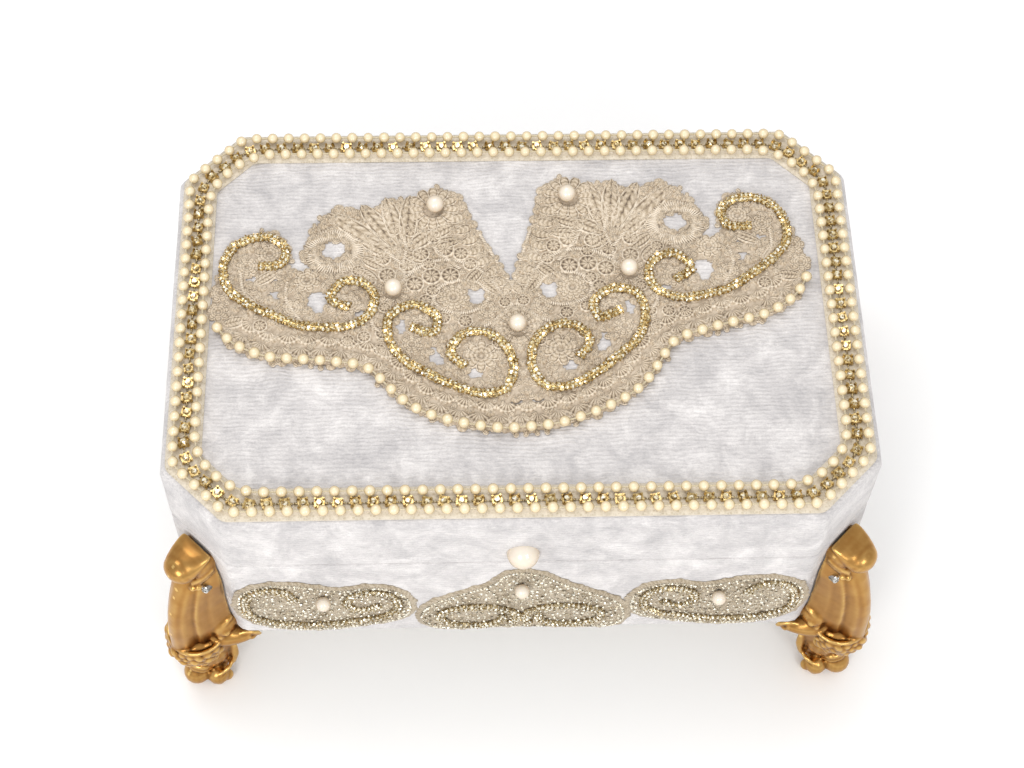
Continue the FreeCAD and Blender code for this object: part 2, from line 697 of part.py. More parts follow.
def border_trim():
    """The net tape round the lid's top with two pearl rows and a rhinestone row."""
    near, far = value_of("Sizes.tape_outer"), value_of("Sizes.tape_outer + Sizes.tape_width")
    tape = value_of("Sizes.tape")
    sheet_face = Part.Face(rounded_outline(near, OUTER_CORNER))
    outline = sheet_face.cut(Part.Face(rounded_outline(far, INNER_CORNER)))
    outline.translate(Vector(0, 0, TOP))
    nodes = [shape_node("border_tape", outline.Faces[0].extrude(Vector(0, 0, tape)))]
    pearl, pitch = value_of("Sizes.pearl"), value_of("Sizes.pearl_pitch")
    level = TOP + tape + pearl + PLAY
    rows = (("outer", OUTER_CORNER), ("inner", INNER_CORNER))
    for name, corner in rows:
        wire = rounded_outline(value_of(f"Sizes.{name}_row"), corner)
        nodes.append(bead_row(f"{name}_pearl_strand", spaced_points(wire, pitch), pearl, level))
    wire = rounded_outline(value_of("Sizes.stone_row"), STONE_CORNER)
    radius, high = value_of("Sizes.stone"), value_of("Sizes.stone_high")
    cups = [
        Part.makeCylinder(radius, high, Vector(p.x, p.y, TOP + tape))
        for p in spaced_points(wire, pitch)
    ]
    nodes.append(shape_node("border_rhinestones", Part.makeCompound(cups)))
    return nodes


# ---------------------------------------------------------------- lid applique

# Right halves of the applique's curves, in its own frame: the origin is the middle
# pearl, the first number is across and the second is towards the back of the lid.
OUTER_SCROLL = [
    (108, 42), (99, 43), (97, 51), (104, 57), (115, 56), (123, 48), (124, 36), (118, 26),
    (98, 12.5), (86, 8.5), (74, 7.5), (63.5, 12), (60, 21), (64, 29), (73, 30.5), (79, 22.5), (72, 17.5),
]
INNER_SCROLL = [
    (45, 4), (36, 1), (34.5, 9.5), (44, 15.5), (54, 11), (55.5, -0.5), (50, -11.5), (41, -19),
    (31, -26), (20, -31), (9, -30.5), (4, -21), (6, -9.5), (14, -1.5), (24, -1.5), (30, -9.5), (25, -17),
]
SWAG = [
    (0, -50.3), (14, -49.5), (34, -43.6), (48, -36), (57, -26), (66, -14.8), (79, -10.6),
    (93.5, -7.8), (107, -5.3), (118, 0.2), (124, 5.5), (128, 11.5),
]
LACE_TOP = [
    (0, 21), (5, 34), (12, 52), (18, 71), (27, 77), (38, 72), (50, 72), (62, 68), (74, 70),
    (86, 57), (88, 45), (84, 37), (95, 41), (96, 55), (106, 61), (119, 56), (126, 43), (127, 26),
]
ACCENTS = [(0, 0), (29.5, 65.5), (51.6, 23.5)]
CHAIN_STEP = 2.5  # spacing of the stones, and of the points that the chain's edges pass


def applique_point(across, back, level):
    """A point of the applique on the lid."""
    turn = math.radians(value_of("Sizes.trim_turn"))
    x = value_of("Sizes.trim_x") + across * math.cos(turn) - back * math.sin(turn)
    y = value_of("Sizes.trim_y") + across * math.sin(turn) + back * math.cos(turn)
    return Vector(x, y, level)


def smooth(points):
    curve = Part.BSplineCurve()
    curve.interpolate(points)
    return curve


def band(path, normal, width, high):
    """A flat band along a curve: the curve's two offsets joined by short straight edges."""
    edge = path.toShape()
    count = int(edge.Length / CHAIN_STEP) + 1
    parameters = [path.parameterAtDistance(edge.Length * i / count) for i in range(count + 1)]
    left, right = [], []
    for parameter in parameters:
        point = path.value(parameter)
        across = normal.cross(Vector(*path.tangent(parameter)[0])).normalize() * (width / 2)
        left.append(point + across)
        right.append(point - across)
    outline = Part.makePolygon(left + right[::-1] + left[:1])
    return Part.Face(outline).extrude(normal * high)


def lid_scrolls(level):
    width, high = value_of("Sizes.chain_width"), value_of("Sizes.chain_high")
    nodes = []
    for name, points in (("outer", OUTER_SCROLL), ("inner", INNER_SCROLL)):
        for side, sign in (("left", -1), ("right", 1)):
            path = smooth([applique_point(sign * a, b, level) for a, b in points])
            nodes.append(shape_node(f"{name}_scroll_{side}", band(path, VERTICAL, width, high)))
    return nodes


def both_halves(points):
    """A curve's right half and its mirror image, from the left end to the right end."""
    mirrored = [(-a, b) for a, b in points if a > 0]
    return mirrored[::-1] + points


def lid_applique():
    """Corded lace, its pearl swag, the accent pearls and the cup-chain scrolls."""
    lower = smooth([applique_point(a, b, TOP) for a, b in both_halves(SWAG)]).toShape()
    upper_left = [applique_point(-a, b, TOP) for a, b in LACE_TOP[::-1]]
    upper_right = [applique_point(a, b, TOP) for a, b in LACE_TOP]
    edges = [lower, smooth(upper_left).toShape(), smooth(upper_right).toShape()]
    ends = [
        Part.LineSegment(applique_point(sign * SWAG[-1][0], SWAG[-1][1], TOP),
                         applique_point(sign * LACE_TOP[-1][0], LACE_TOP[-1][1], TOP)).toShape()
        for sign in (-1, 1)
    ]
    wire = Part.Wire(Part.__sortEdges__(edges + ends))
    lace = value_of("Sizes.lace")
    nodes = [shape_node("lid_lace", Part.Face(wire).extrude(Vector(0, 0, lace)))]
    pearl = value_of("Sizes.pearl")
    swag = spaced_points(Part.Wire([lower]), value_of("Sizes.swag_pitch"))
    nodes.append(bead_row("pearl_swag", swag, pearl, TOP + lace + pearl + PLAY))
    accent = value_of("Sizes.accent")
    spots = [applique_point(a, b, 0) for a, b in both_halves(ACCENTS)]
    nodes.append(bead_row("accent_pearls", spots, accent, TOP + lace + accent + PLAY))
    return nodes + lid_scrolls(TOP + lace)


# ---------------------------------------------------------------- front appliques and pull

FRONT_OUT = Vector(0, -1, 0)
# Lace outlines on the front face as (across from the motif's middle, height).
SIDE_LACE = [
    (-37.5, 82), (-34, 93), (-24, 99), (-12, 99), (-2, 95.5), (8, 93), (19, 96), (29, 94),
    (36, 85), (37, 72), (31, 63.5), (18, 58.5), (2, 54.5), (-15, 54.5), (-29, 60), (-36, 70),
]
MIDDLE_LACE = [
    (-44, 65), (-39, 78), (-26, 88), (-13, 97), (-7, 106), (1, 109), (10, 105), (18, 97), (30, 88),
    (42, 78), (46, 64), (42, 54), (30, 51.5), (4, 54), (-16, 53), (-28, 51.5), (-39, 55),
]
# Centre line of a side motif's cup chain: one long C with its two ends curled in.
SIDE_CHAIN = [
    (-13, 87), (-17, 94), (-25, 96), (-32, 91), (-34.5, 81), (-33, 71), (-26, 64), (-13, 60.5),
    (1, 60.5), (13, 63.5), (24, 67), (31, 74), (32, 84), (27, 91), (19, 92.5), (12.5, 89),
    (10, 82), (13, 76), (19, 75.5), (23, 79),
]
MOTIF_AT = 86.0  # middle of a side motif, left or right of the box's middle
SIDE_PEARL, MIDDLE_PEARL = 88.0, 98.0  # heights of the pearls on the motifs


OVAL_AT, OVAL_LEVEL = -20.0, 65.5  # middle of the left oval scroll of the middle motif
OVAL_LONG, OVAL_HIGH = 18.5, 11.5  # its half length and half height
OVAL_START = -0.08  # where it begins, in turns from its right-hand end
OVAL_TURNS, OVAL_SHRINK = 1.1, 0.35  # how far it winds, and how much it shrinks inwards


def oval_scroll():
    """A flattened spiral that starts beside the middle and winds inwards."""
    steps = 14
    points = []
    for i in range(steps + 1):
        turn = 2 * math.pi * (OVAL_START + OVAL_TURNS * i / steps)
        size = 1 - OVAL_SHRINK * i / steps
        across = OVAL_AT + OVAL_LONG * size * math.cos(turn)
        points.append((across, OVAL_LEVEL + OVAL_HIGH * size * math.sin(turn)))
    return points


def front_point(x, z, out=0.0):
    return Vector(x, front_y - out, z)


def front_motif(name, middle, outline, chains, pearl_level):
    """Lace glued to the front face, outlined by a cup chain and set with one pearl."""
    lace, width, high = (value_of("Sizes." + word) for word in ("lace", "front_chain", "chain_high"))
    loop = Part.BSplineCurve()
    loop.interpolate([front_point(middle + a, z) for a, z in outline], PeriodicFlag=True)
    face = Part.Face(Part.Wire([loop.toShape()]))
    nodes = [shape_node(f"front_lace_{name}", face.extrude(FRONT_OUT * lace))]
    bands = []
    for sign, points in chains:
        path = smooth([front_point(middle + sign * a, z, lace) for a, z in points])
        bands.append(band(path, FRONT_OUT, width, high))
    nodes.append(shape_node(f"front_chain_{name}", Part.makeCompound(bands)))
    radius = value_of("Sizes.front_pearl")
    return nodes, Part.makeSphere(radius, front_point(middle, pearl_level, lace + radius + PLAY))


def front_trim():
    nodes, pearls = [], []
    motifs = (
        ("left", -MOTIF_AT, SIDE_LACE, [(1, SIDE_CHAIN)], SIDE_PEARL),
        ("middle", 0.0, MIDDLE_LACE, [(1, oval_scroll()), (-1, oval_scroll())], MIDDLE_PEARL),
        ("right", MOTIF_AT, SIDE_LACE, [(-1, SIDE_CHAIN)], SIDE_PEARL),
    )
    for motif in motifs:
        made, pearl = front_motif(*motif)
        nodes += made
        pearls.append(pearl)
    nodes.append(shape_node("front_pearls", Part.makeCompound(pearls)))
    return nodes


PULL_MARGIN = 1.1  # the block that halves the pearl, as a share of its radius each way


def pearl_pull():
    """The half pearl on the lid's front and the brass stud that holds it."""
    ball = labelled("Part::Sphere", "pull_ball")
    ball.Placement.Base = Vector(*pull_point)
    bind(ball, Radius="Sizes.pull")
    behind = labelled("Part::Box", "pull_ball_back")
    side = f"Sizes.pull * {2 * PULL_MARGIN}"
    bind(behind, Length=side, Width=side, Height=side)
    bind(behind, X=f"-Sizes.pull * {PULL_MARGIN}", Y="-Sizes.box_deep / 2")
    bind(behind, Z=f"Sizes.pull_level - Sizes.pull * {PULL_MARGIN}")
    socket = cylinder(
        "pull_socket", "Sizes.stud_radius + Sizes.bore_clear", "Sizes.stud_in + Sizes.bore_clear",
        pull_point, (0, -1, 0)
    )
    pearl = cut("pull_pearl", ball, compound("pull_pearl_tools", [behind, socket]))
    head_end = (0.0, pull_point[1] - value_of("Sizes.stud_in"), pull_point[2])
    stud = cylinder("pull_stud", "Sizes.stud_radius", f"Sizes.stud_in + {STUD_DEPTH}", head_end, (0, 1, 0))
    return [pearl, stud]


# ---------------------------------------------------------------- build, check and write


def sound(node):
    """Stop if a node failed or its shape is not made of valid closed solids."""
    shape = node.Shape
    if shape.isNull() or not shape.isValid() or not shape.Solids:
        raise RuntimeError(f"{node.Label} has no valid solid")
    for solid in shape.Solids:
        if solid.Volume <= 0 or not solid.isClosed():
            raise RuntimeError(f"{node.Label} holds an open or inverted solid")


nodes = lower_box() + lid() + feet() + hinges()
nodes += border_trim() + lid_applique() + front_trim() + pearl_pull()
doc.recompute()
for thing in doc.Objects:
    if "Invalid" in thing.State or "Error" in thing.State:
        raise RuntimeError(f"{thing.Label} failed: {thing.State}")
for node in nodes:
    sound(node)
for node in nodes:
    node.Shape.exportStep(f"parts/{node.Label}.step")
print(len(nodes), "nodes written")
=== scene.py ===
"""Looks of the velvet trinket box: crushed velvet over board, a border of sewn pearls and
rhinestones, corded lace with gold cup-chain scrolls, cast gold feet and a satin inside."""
import math

import bmesh
import bpy
import numpy as np
from mathutils import Matrix, Vector
from mathutils import noise as field


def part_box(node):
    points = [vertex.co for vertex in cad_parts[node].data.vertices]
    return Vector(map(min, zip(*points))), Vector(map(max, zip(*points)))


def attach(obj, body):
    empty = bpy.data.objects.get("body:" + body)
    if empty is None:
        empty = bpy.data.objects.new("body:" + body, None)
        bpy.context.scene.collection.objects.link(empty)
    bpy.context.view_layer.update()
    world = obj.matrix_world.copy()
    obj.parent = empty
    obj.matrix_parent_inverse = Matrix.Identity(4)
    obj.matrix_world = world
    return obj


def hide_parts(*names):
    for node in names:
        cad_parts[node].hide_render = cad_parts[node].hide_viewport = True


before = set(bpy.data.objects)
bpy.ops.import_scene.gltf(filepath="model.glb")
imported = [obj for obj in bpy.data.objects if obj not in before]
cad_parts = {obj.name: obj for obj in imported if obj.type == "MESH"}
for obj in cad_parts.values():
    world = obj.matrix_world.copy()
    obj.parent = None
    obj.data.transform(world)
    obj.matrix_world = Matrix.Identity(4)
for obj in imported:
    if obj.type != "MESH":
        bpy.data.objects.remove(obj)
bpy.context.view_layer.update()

MM = 0.001
BOX, LID = "box_body", "lid"

# Sizes of this box, in millimetres; everything else is read from the frame.
CORNER_CUT = 26.0
PEARL_PITCH = 7.2
SWAG_PITCH = 7.0


def low(node, axis):
    """The node's lowest coordinate along an axis, in millimetres."""
    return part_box(node)[0][axis] / MM


def high(node, axis):
    """The node's highest coordinate along an axis, in millimetres."""
    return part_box(node)[1][axis] / MM


HALF_LONG = high("lid_velvet_cover", 0)
HALF_DEEP = high("lid_velvet_cover", 1)
LID_TOP = high("lid_velvet_cover", 2)
LID_RIM = low("lid_velvet_cover", 2)
BODY_RIM = high("body_velvet_cover", 2)
BODY_BOTTOM = low("base_cloth", 2)
FRONT = -HALF_DEEP
GROUND_DEPTH = 0.45  # how far the stitches sink into the lace ground
STITCHED_AT = low("lid_lace", 2) + GROUND_DEPTH


# ---------------------------------------------------------------- materials


def linear(hex_colour):
    """An sRGB hex colour as linear RGBA."""
    parts = [int(hex_colour[i:i + 2], 16) / 255 for i in (1, 3, 5)]
    return [c / 12.92 if c <= 0.04045 else ((c + 0.055) / 1.055) ** 2.4 for c in parts] + [1.0]


def add(tree, kind, inputs=None, **settings):
    """Add a node, set its properties, and set or link its inputs by name or number."""
    node = tree.nodes.new(kind)
    for name, value in settings.items():
        setattr(node, name, value)
    for key, value in (inputs or {}).items():
        socket = node.inputs[key]
        if isinstance(value, bpy.types.NodeSocket):
            tree.links.new(value, socket)
        else:
            socket.default_value = value
    return node


def new_material(name):
    """A material with its node tree emptied; returns both."""
    material = bpy.data.materials.new(name)
    material.use_nodes = True
    material.node_tree.nodes.clear()
    return material, material.node_tree


def finish_material(tree, inputs):
    """End a tree in one Principled shader with these inputs."""
    shader = add(tree, "ShaderNodeBsdfPrincipled", inputs)
    add(tree, "ShaderNodeOutputMaterial", {"Surface": shader.outputs[0]})
    return shader


def ramp(tree, factor, stops):
    """A colour ramp through (position, hex colour) stops."""
    node = add(tree, "ShaderNodeValToRGB", {"Fac": factor})
    elements = node.color_ramp.elements
    while len(elements) < len(stops):
        elements.new(0.5)
    for element, (position, colour) in zip(elements, stops):
        element.position = position
        element.color = linear(colour)
    return node.outputs["Color"]


def object_space(tree, scale=(1, 1, 1)):
    """Object coordinates in millimetres, stretched by scale."""
    coordinates = add(tree, "ShaderNodeTexCoord")
    factors = [s / MM for s in scale]
    return add(
        tree, "ShaderNodeMapping", {"Vector": coordinates.outputs["Object"], "Scale": factors}
    ).outputs[0]


def noise(tree, vector, size_mm, detail=2.0, rough=0.5, distort=0.0):
    """Noise whose blobs are about size_mm across."""
    inputs = {"Vector": vector, "Scale": 1.0 / size_mm, "Detail": detail}
    inputs.update({"Roughness": rough, "Distortion": distort})
    return add(tree, "ShaderNodeTexNoise", inputs).outputs[0]


def maths(tree, operation, first, second=0.0, clamp=False):
    node = add(tree, "ShaderNodeMath", {0: first, 1: second}, operation=operation, use_clamp=clamp)
    return node.outputs[0]


def blend_value(tree, factor, low_value, high_value):
    return add(
        tree, "ShaderNodeMapRange", {"Value": factor, "To Min": low_value, "To Max": high_value}
    ).outputs[0]


def bump(tree, height, distance_mm, strength=1.0):
    return add(
        tree, "ShaderNodeBump", {"Height": height, "Distance": distance_mm * MM, "Strength": strength}
    ).outputs[0]


def crushed_velvet():
    """Ice velvet: a knitted rayon pile pressed flat in patches.

    The pile leans different ways, so patches look silver or white, and the knitted rows
    show as fine broken lines 2 mm apart, which run along the cloth.
    """
    material, tree = new_material("crushed_velvet")
    place = object_space(tree)
    parts = add(tree, "ShaderNodeSeparateXYZ", {0: place})
    upward = add(tree, "ShaderNodeSeparateXYZ", {0: add(tree, "ShaderNodeNewGeometry").outputs["Normal"]})
    is_top = maths(tree, "GREATER_THAN", maths(tree, "ABSOLUTE", upward.outputs[2]), 0.7)
    across_rows = add(
        tree, "ShaderNodeMix",
        {"Factor": is_top, "A": parts.outputs[2], "B": parts.outputs[1]}, data_type="FLOAT",
    ).outputs[0]
    wander = noise(tree, place, 14.0, 2.0)
    wavy = maths(tree, "ADD", across_rows, maths(tree, "MULTIPLY", wander, 4.5))
    rows = maths(tree, "SINE", maths(tree, "MULTIPLY", wavy, 2 * math.pi / 2.0))
    dashes = noise(tree, object_space(tree, (0.25, 1.0, 1.0)), 0.9, 3.0, 0.75)
    specks = noise(tree, place, 0.8, 3.0, 0.8)
    broken = maths(tree, "MULTIPLY", rows, blend_value(tree, noise(tree, place, 5.0, 2.0), 0.0, 1.0))
    patches = noise(tree, place, 15.0, 5.0, 0.68, 0.5)
    leaning = maths(tree, "MULTIPLY", patches, 0.55)
    dash_share, speck_share = (maths(tree, "MULTIPLY", *pair) for pair in ((dashes, 0.26), (specks, 0.24)))
    fibres = maths(tree, "ADD", dash_share, speck_share)
    pile = maths(tree, "ADD", maths(tree, "ADD", leaning, fibres), maths(tree, "MULTIPLY", broken, 0.022))
    relief = maths(tree, "ADD", maths(tree, "MULTIPLY", broken, 0.6), maths(tree, "ADD", dashes, specks))
    finish_material(tree, {
        "Base Color": ramp(tree, pile, [(0.36, "#ADAAAB"), (0.52, "#CECAC9"), (0.67, "#ECE8E6")]),
        "Roughness": blend_value(tree, patches, 0.5, 0.85),
        "Specular IOR Level": 0.25,
        "Sheen Weight": 0.22,
        "Sheen Roughness": 0.4,
        "Sheen Tint": linear("#FFFFFF"),
        "Normal": bump(tree, relief, 0.32, 0.8),
    })
    return material


def pearl_lustre(name, warm, cool, shade):
    """Faux pearl: a polystyrene bead with several coats of pearl essence lacquer.

    The coats give a soft satin body colour, and painted shade darkens it towards the rim where
    the surface turns from the camera, under a hard gloss that shows each lamp as a small bright spot.
    """
    material, tree = new_material(name)
    # painted shade: the colour darkens towards the rim as the surface turns away from the camera
    rim = add(tree, "ShaderNodeLayerWeight", {"Blend": 0.4}).outputs["Facing"]
    cloud = noise(tree, object_space(tree), 2.2, 2.0)
    mixed = maths(tree, "ADD", maths(tree, "MULTIPLY", rim, 0.9), maths(tree, "MULTIPLY", cloud, 0.12))
    finish_material(tree, {
        "Base Color": ramp(tree, mixed, [(0.05, warm), (0.45, cool), (0.85, shade)]),
        "Roughness": 0.22,
        "IOR": 1.53,
        "Coat Weight": 1.0,
        "Coat Roughness": 0.03,
        "Subsurface Weight": 0.08,
        "Subsurface Radius": [0.003, 0.002, 0.001],
        "Subsurface Scale": 0.3,
    })
    return material


def metal(name, shade, light, rough, tone_mm=3.0, grain=0.05):
    """Bright metal whose colour and gloss vary a little over a few millimetres."""
    material, tree = new_material(name)
    place = object_space(tree)
    tone = noise(tree, place, tone_mm, 3.0, 0.6)
    fine = noise(tree, place, 0.35, 2.0, 0.6)
    finish_material(tree, {
        "Base Color": ramp(tree, tone, [(0.3, shade), (0.7, light)]),
        "Metallic": 1.0,
        "Roughness": blend_value(tree, tone, rough * 0.8, rough * 1.3),
        "Normal": bump(tree, fine, grain, 0.5),
    })
    return material


def cut_stone(name, dark, light):
    """Foil-backed machine-cut glass in its own tint, with painted reflections: patches of it are painted
    light, dark or near white so that each facet seems to flash light or dark.

    The foil stops light going through, so it is a glossy mirror-like coat over a colour
    that is painted lighter or darker from patch to patch to stand in for facet flashes.
    """
    material, tree = new_material(name)
    # painted reflections: random cells of the colour are painted dark, light or near white, like facets
    # flashing
    cells = add(
        tree, "ShaderNodeTexVoronoi", {"Vector": object_space(tree), "Scale": 1.0 / 0.9}
    ).outputs["Color"]
    value = add(tree, "ShaderNodeSeparateColor", {0: cells}).outputs[0]
    finish_material(tree, {
        "Base Color": ramp(tree, value, [(0.15, dark), (0.55, light), (0.9, "#FFFDF0")]),
        "Metallic": 0.55,
        "Roughness": 0.08,
        "Coat Weight": 1.0,
        "Coat Roughness": 0.02,
    })
    return material


VELVET = crushed_velvet()
CREAM_PEARL = pearl_lustre("cream_faux_pearl", "#EBDDBD", "#D8C296", "#A88A58")
WHITE_PEARL = pearl_lustre("white_faux_pearl", "#EFE5D6", "#DCCBB4", "#AD9677")
GOLD_CUP = metal("gold_plated_cup", "#8E6F38", "#EBD298", 0.24, 1.2)
SILVER_CUP = metal("pale_gold_plated_cup", "#84704C", "#DCCBA4", 0.24, 1.2)
GOLD_STONE = cut_stone("jonquil_cut_glass", "#8A7140", "#EBD8A4")
CLEAR_STONE = cut_stone("crystal_cut_glass", "#786B54", "#E4D7BC")


# ---------------------------------------------------------------- meshes


def new_piece(name, mesh, body, material, replaces=()):
    """An object at the origin that rides on a body and stands for CAD nodes."""
    piece = bpy.data.objects.new(name, mesh)
    bpy.context.scene.collection.objects.link(piece)
    if material is not None:
        mesh.materials.clear()
        mesh.materials.append(material)
    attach(piece, body)
    if replaces:
        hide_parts(*replaces)
    return piece


def mesh_from(name, points, faces, smooth=True):
    """A mesh from points in millimetres."""
    mesh = bpy.data.meshes.new(name)
    mesh.from_pydata([[c * MM for c in p] for p in points], [], faces)
    mesh.validate()
    mesh.shade_smooth() if smooth else mesh.shade_flat()
    return mesh


def outward(mesh):
    """Merge doubled points and make every face point outwards."""
    work = bmesh.new()
    work.from_mesh(mesh)
    bmesh.ops.remove_doubles(work, verts=work.verts, dist=1e-6)
    bmesh.ops.recalc_face_normals(work, faces=work.faces)
    work.to_mesh(mesh)
    work.free()
    return mesh


def grid_faces(rows, columns, closed_rows=False, closed_columns=True):
    """Quads of a grid of points stored row by row."""
    faces = []
    for r in range(rows if closed_rows else rows - 1):
        for c in range(columns if closed_columns else columns - 1):
            r2, c2 = (r + 1) % rows, (c + 1) % columns
            faces.append([r * columns + c, r * columns + c2, r2 * columns + c2, r2 * columns + c])
    return faces


def outline_loop(inset, corner_radius, count=None, spacing=None):
    """Evenly spaced points round the box's plan, moved inwards, with rounded corners."""
    corner = CORNER_CUT - (2 - math.sqrt(2)) * inset
    long_half, deep_half = HALF_LONG - inset, HALF_DEEP - inset
    a, b = long_half - corner, deep_half - corner
    corners = [(-a, -deep_half), (a, -deep_half), (long_half, -b), (long_half, b)]
    corners += [(a, deep_half), (-a, deep_half), (-long_half, b), (-long_half, -b)]
    corners = np.array(corners)
    trim = corner_radius * math.tan(math.pi / 8)
    path = []
    for i, point in enumerate(corners):
        before = corners[i - 1] - point
        after = corners[(i + 1) % 8] - point
        into = point + before / np.linalg.norm(before) * trim
        away = point + after / np.linalg.norm(after) * trim
        inward = (into + away) / 2 - point
        inward /= max(np.linalg.norm(inward), 1e-9)
        centre = point + inward * corner_radius / math.cos(math.pi / 8)
        start = math.atan2(*(into - centre)[::-1])
        for step in range(9):
            angle = start + math.pi / 4 * step / 8
            path.append(centre + corner_radius * np.array([math.cos(angle), math.sin(angle)]))
    path = np.array(path + path[:1])
    along = np.r_[0, np.cumsum(np.linalg.norm(np.diff(path, axis=0), axis=1))]
    if count is None:
        count = round(along[-1] / spacing)
    at = np.linspace(0, along[-1], count, endpoint=False)
    return np.stack([np.interp(at, along, path[:, k]) for k in (0, 1)], axis=1)


def swept_round_box(name, profile, count, radius=2.4, closed=True):
    """Sweep a profile of (inset, height) points round the box's plan."""
    rows = []
    for inset, height in profile:
        ring = outline_loop(max(inset, 0.0), max(radius - inset * 0.2, 0.6), count=count)
        rows += [(x, y, height) for x, y in ring]
    return mesh_from(name, rows, grid_faces(len(profile), count, closed_rows=closed))


# ---------------------------------------------------------------- geometry node trees


def socket_named(tree, name):
    """The identifier of a node group's named input."""
    for item in tree.interface.items_tree:
        if item.item_type == "SOCKET" and item.in_out == "INPUT" and item.name == name:
            return item.identifier
    raise KeyError(name)


def started_tree(name, inputs, output):
    """A geometry node tree with its named sockets; returns it and its given values."""
    tree = bpy.data.node_groups.new(name, "GeometryNodeTree")
    for label, kind in inputs.items():
        tree.interface.new_socket(label, in_out="INPUT", socket_type="NodeSocket" + kind)
    tree.interface.new_socket(output, in_out="OUTPUT", socket_type="NodeSocketGeometry")
    return tree, add(tree, "NodeGroupInput").outputs


def ended_tree(tree, instances, finish):
    """Turn the instances into real geometry of one material."""
    real = add(tree, "GeometryNodeRealizeInstances", {0: instances})
    painted = add(tree, "GeometryNodeSetMaterial", {"Geometry": real.outputs[0], "Material": finish})
    add(tree, "NodeGroupOutput", {0: painted.outputs[0]})
    return tree


def beads_on_path_tree():
    """Geometry nodes that set one bead at even steps along a path."""
    tree, given = started_tree("beads_on_path", {
        "Path": "Geometry", "Bead": "Object", "Count": "Int", "Size Jitter": "Float",
        "Turn Jitter": "Float", "Finish": "Material",
    }, "Beads")
    curve = add(tree, "GeometryNodeMeshToCurve", {"Mesh": given["Path"]})
    even = add(tree, "GeometryNodeResampleCurve", {"Curve": curve.outputs[0], "Count": given["Count"]})
    bead = add(tree, "GeometryNodeObjectInfo", {"Object": given["Bead"]})
    along = add(
        tree, "FunctionNodeAlignRotationToVector",
        {"Vector": add(tree, "GeometryNodeInputTangent").outputs[0]}, axis="X",
    )
    wobble = add(tree, "FunctionNodeRandomValue", {"Seed": 7}, data_type="FLOAT_VECTOR")
    for limit, sign in (("Max", 1), ("Min", -1)):
        reach = add(tree, "ShaderNodeVectorMath", {0: (sign,) * 3, 3: given["Turn Jitter"]},
                    operation="SCALE")
        tree.links.new(reach.outputs[0], wobble.inputs[limit])
    spin = add(tree, "FunctionNodeEulerToRotation", {0: wobble.outputs["Value"]})
    turned = add(tree, "FunctionNodeRotateRotation", {0: along.outputs[0], 1: spin.outputs[0]},
                 rotation_space="LOCAL")
    size = add(tree, "FunctionNodeRandomValue", {"Seed": 11}, data_type="FLOAT")
    for socket, operation in ((2, "SUBTRACT"), (3, "ADD")):
        reach = add(tree, "ShaderNodeMath", {0: 1.0, 1: given["Size Jitter"]}, operation=operation)
        tree.links.new(reach.outputs[0], size.inputs[socket])
    placed = add(tree, "GeometryNodeInstanceOnPoints", {
        "Points": even.outputs[0], "Instance": bead.outputs["Geometry"],
        "Rotation": turned.outputs[0], "Scale": size.outputs[1],
    })
    return ended_tree(tree, placed.outputs[0], given["Finish"])


def as_built(thing):
    """A plain mesh of an object with its modifiers applied."""
    bpy.context.view_layer.update()
    evaluated = thing.evaluated_get(bpy.context.evaluated_depsgraph_get())
    return bpy.data.meshes.new_from_object(evaluated)


def grown(name, host_mesh, tree, values):
    """Run a geometry node tree on a host mesh and return the plain mesh it makes."""
    host = bpy.data.objects.new(name + "_host", host_mesh)
    bpy.context.scene.collection.objects.link(host)
    modifier = host.modifiers.new("grow", "NODES")
    modifier.node_group = tree
    for key, value in values.items():
        modifier[socket_named(tree, key)] = value
    mesh = as_built(host)
    mesh.name = name
    host.modifiers.remove(modifier)
    bpy.data.objects.remove(host)
    return mesh


def path_mesh(name, points, closed):
    """A mesh of edges through points in millimetres."""
    mesh = bpy.data.meshes.new(name + "_path")
    count = len(points)
    edges = [(i, (i + 1) % count) for i in range(count if closed else count - 1)]
    mesh.from_pydata([[c * MM for c in p] for p in points], edges, [])
    return mesh


def prototype(name, mesh):
    """A shape to be repeated; it is removed once everything has grown."""
    thing = bpy.data.objects.new("pattern_" + name, mesh)
    bpy.context.scene.collection.objects.link(thing)
    PROTOTYPES.append(thing)
    return thing


PROTOTYPES = []
BEADS_ON_PATH = beads_on_path_tree()


def strand(name, points, closed, bead, count, material, jitter=0.02, turn=0.0):
    """Beads of one kind along a path."""
    values = {"Bead": bead, "Count": count, "Size Jitter": jitter, "Turn Jitter": turn, "Finish": material}
    return grown(name, path_mesh(name, points, closed), BEADS_ON_PATH, values)


def joined(name, meshes):
    """Several plain meshes as one, keeping each one's material."""
    work = bmesh.new()
    materials = []
    for mesh in meshes:
        first = len(work.faces)
        work.from_mesh(mesh)
        work.faces.ensure_lookup_table()
        for material in mesh.materials:
            if material not in materials:
                materials.append(material)
        numbers = [materials.index(m) for m in mesh.materials]
        for f in work.faces[first:]:
            f.material_index = numbers[f.material_index] if numbers else 0
        bpy.data.meshes.remove(mesh)
    whole = bpy.data.meshes.new(name)
    work.to_mesh(whole)
    work.free()
    for material in materials:
        whole.materials.append(material)
    return whole


# ---------------------------------------------------------------- prototypes


def bead_mesh(radius, segments=14, rings=8):
    """A strung bead: a smooth sphere with its poles along X."""
    mesh = bpy.data.meshes.new("bead")
    work = bmesh.new()
    bmesh.ops.create_uvsphere(work, u_segments=segments, v_segments=rings, radius=radius * MM)
    bmesh.ops.rotate(work, verts=work.verts, matrix=Matrix.Rotation(math.pi / 2, 3, "Y"))
    for f in work.faces:
        f.smooth = True
    work.to_mesh(mesh)
    work.free()
    return mesh


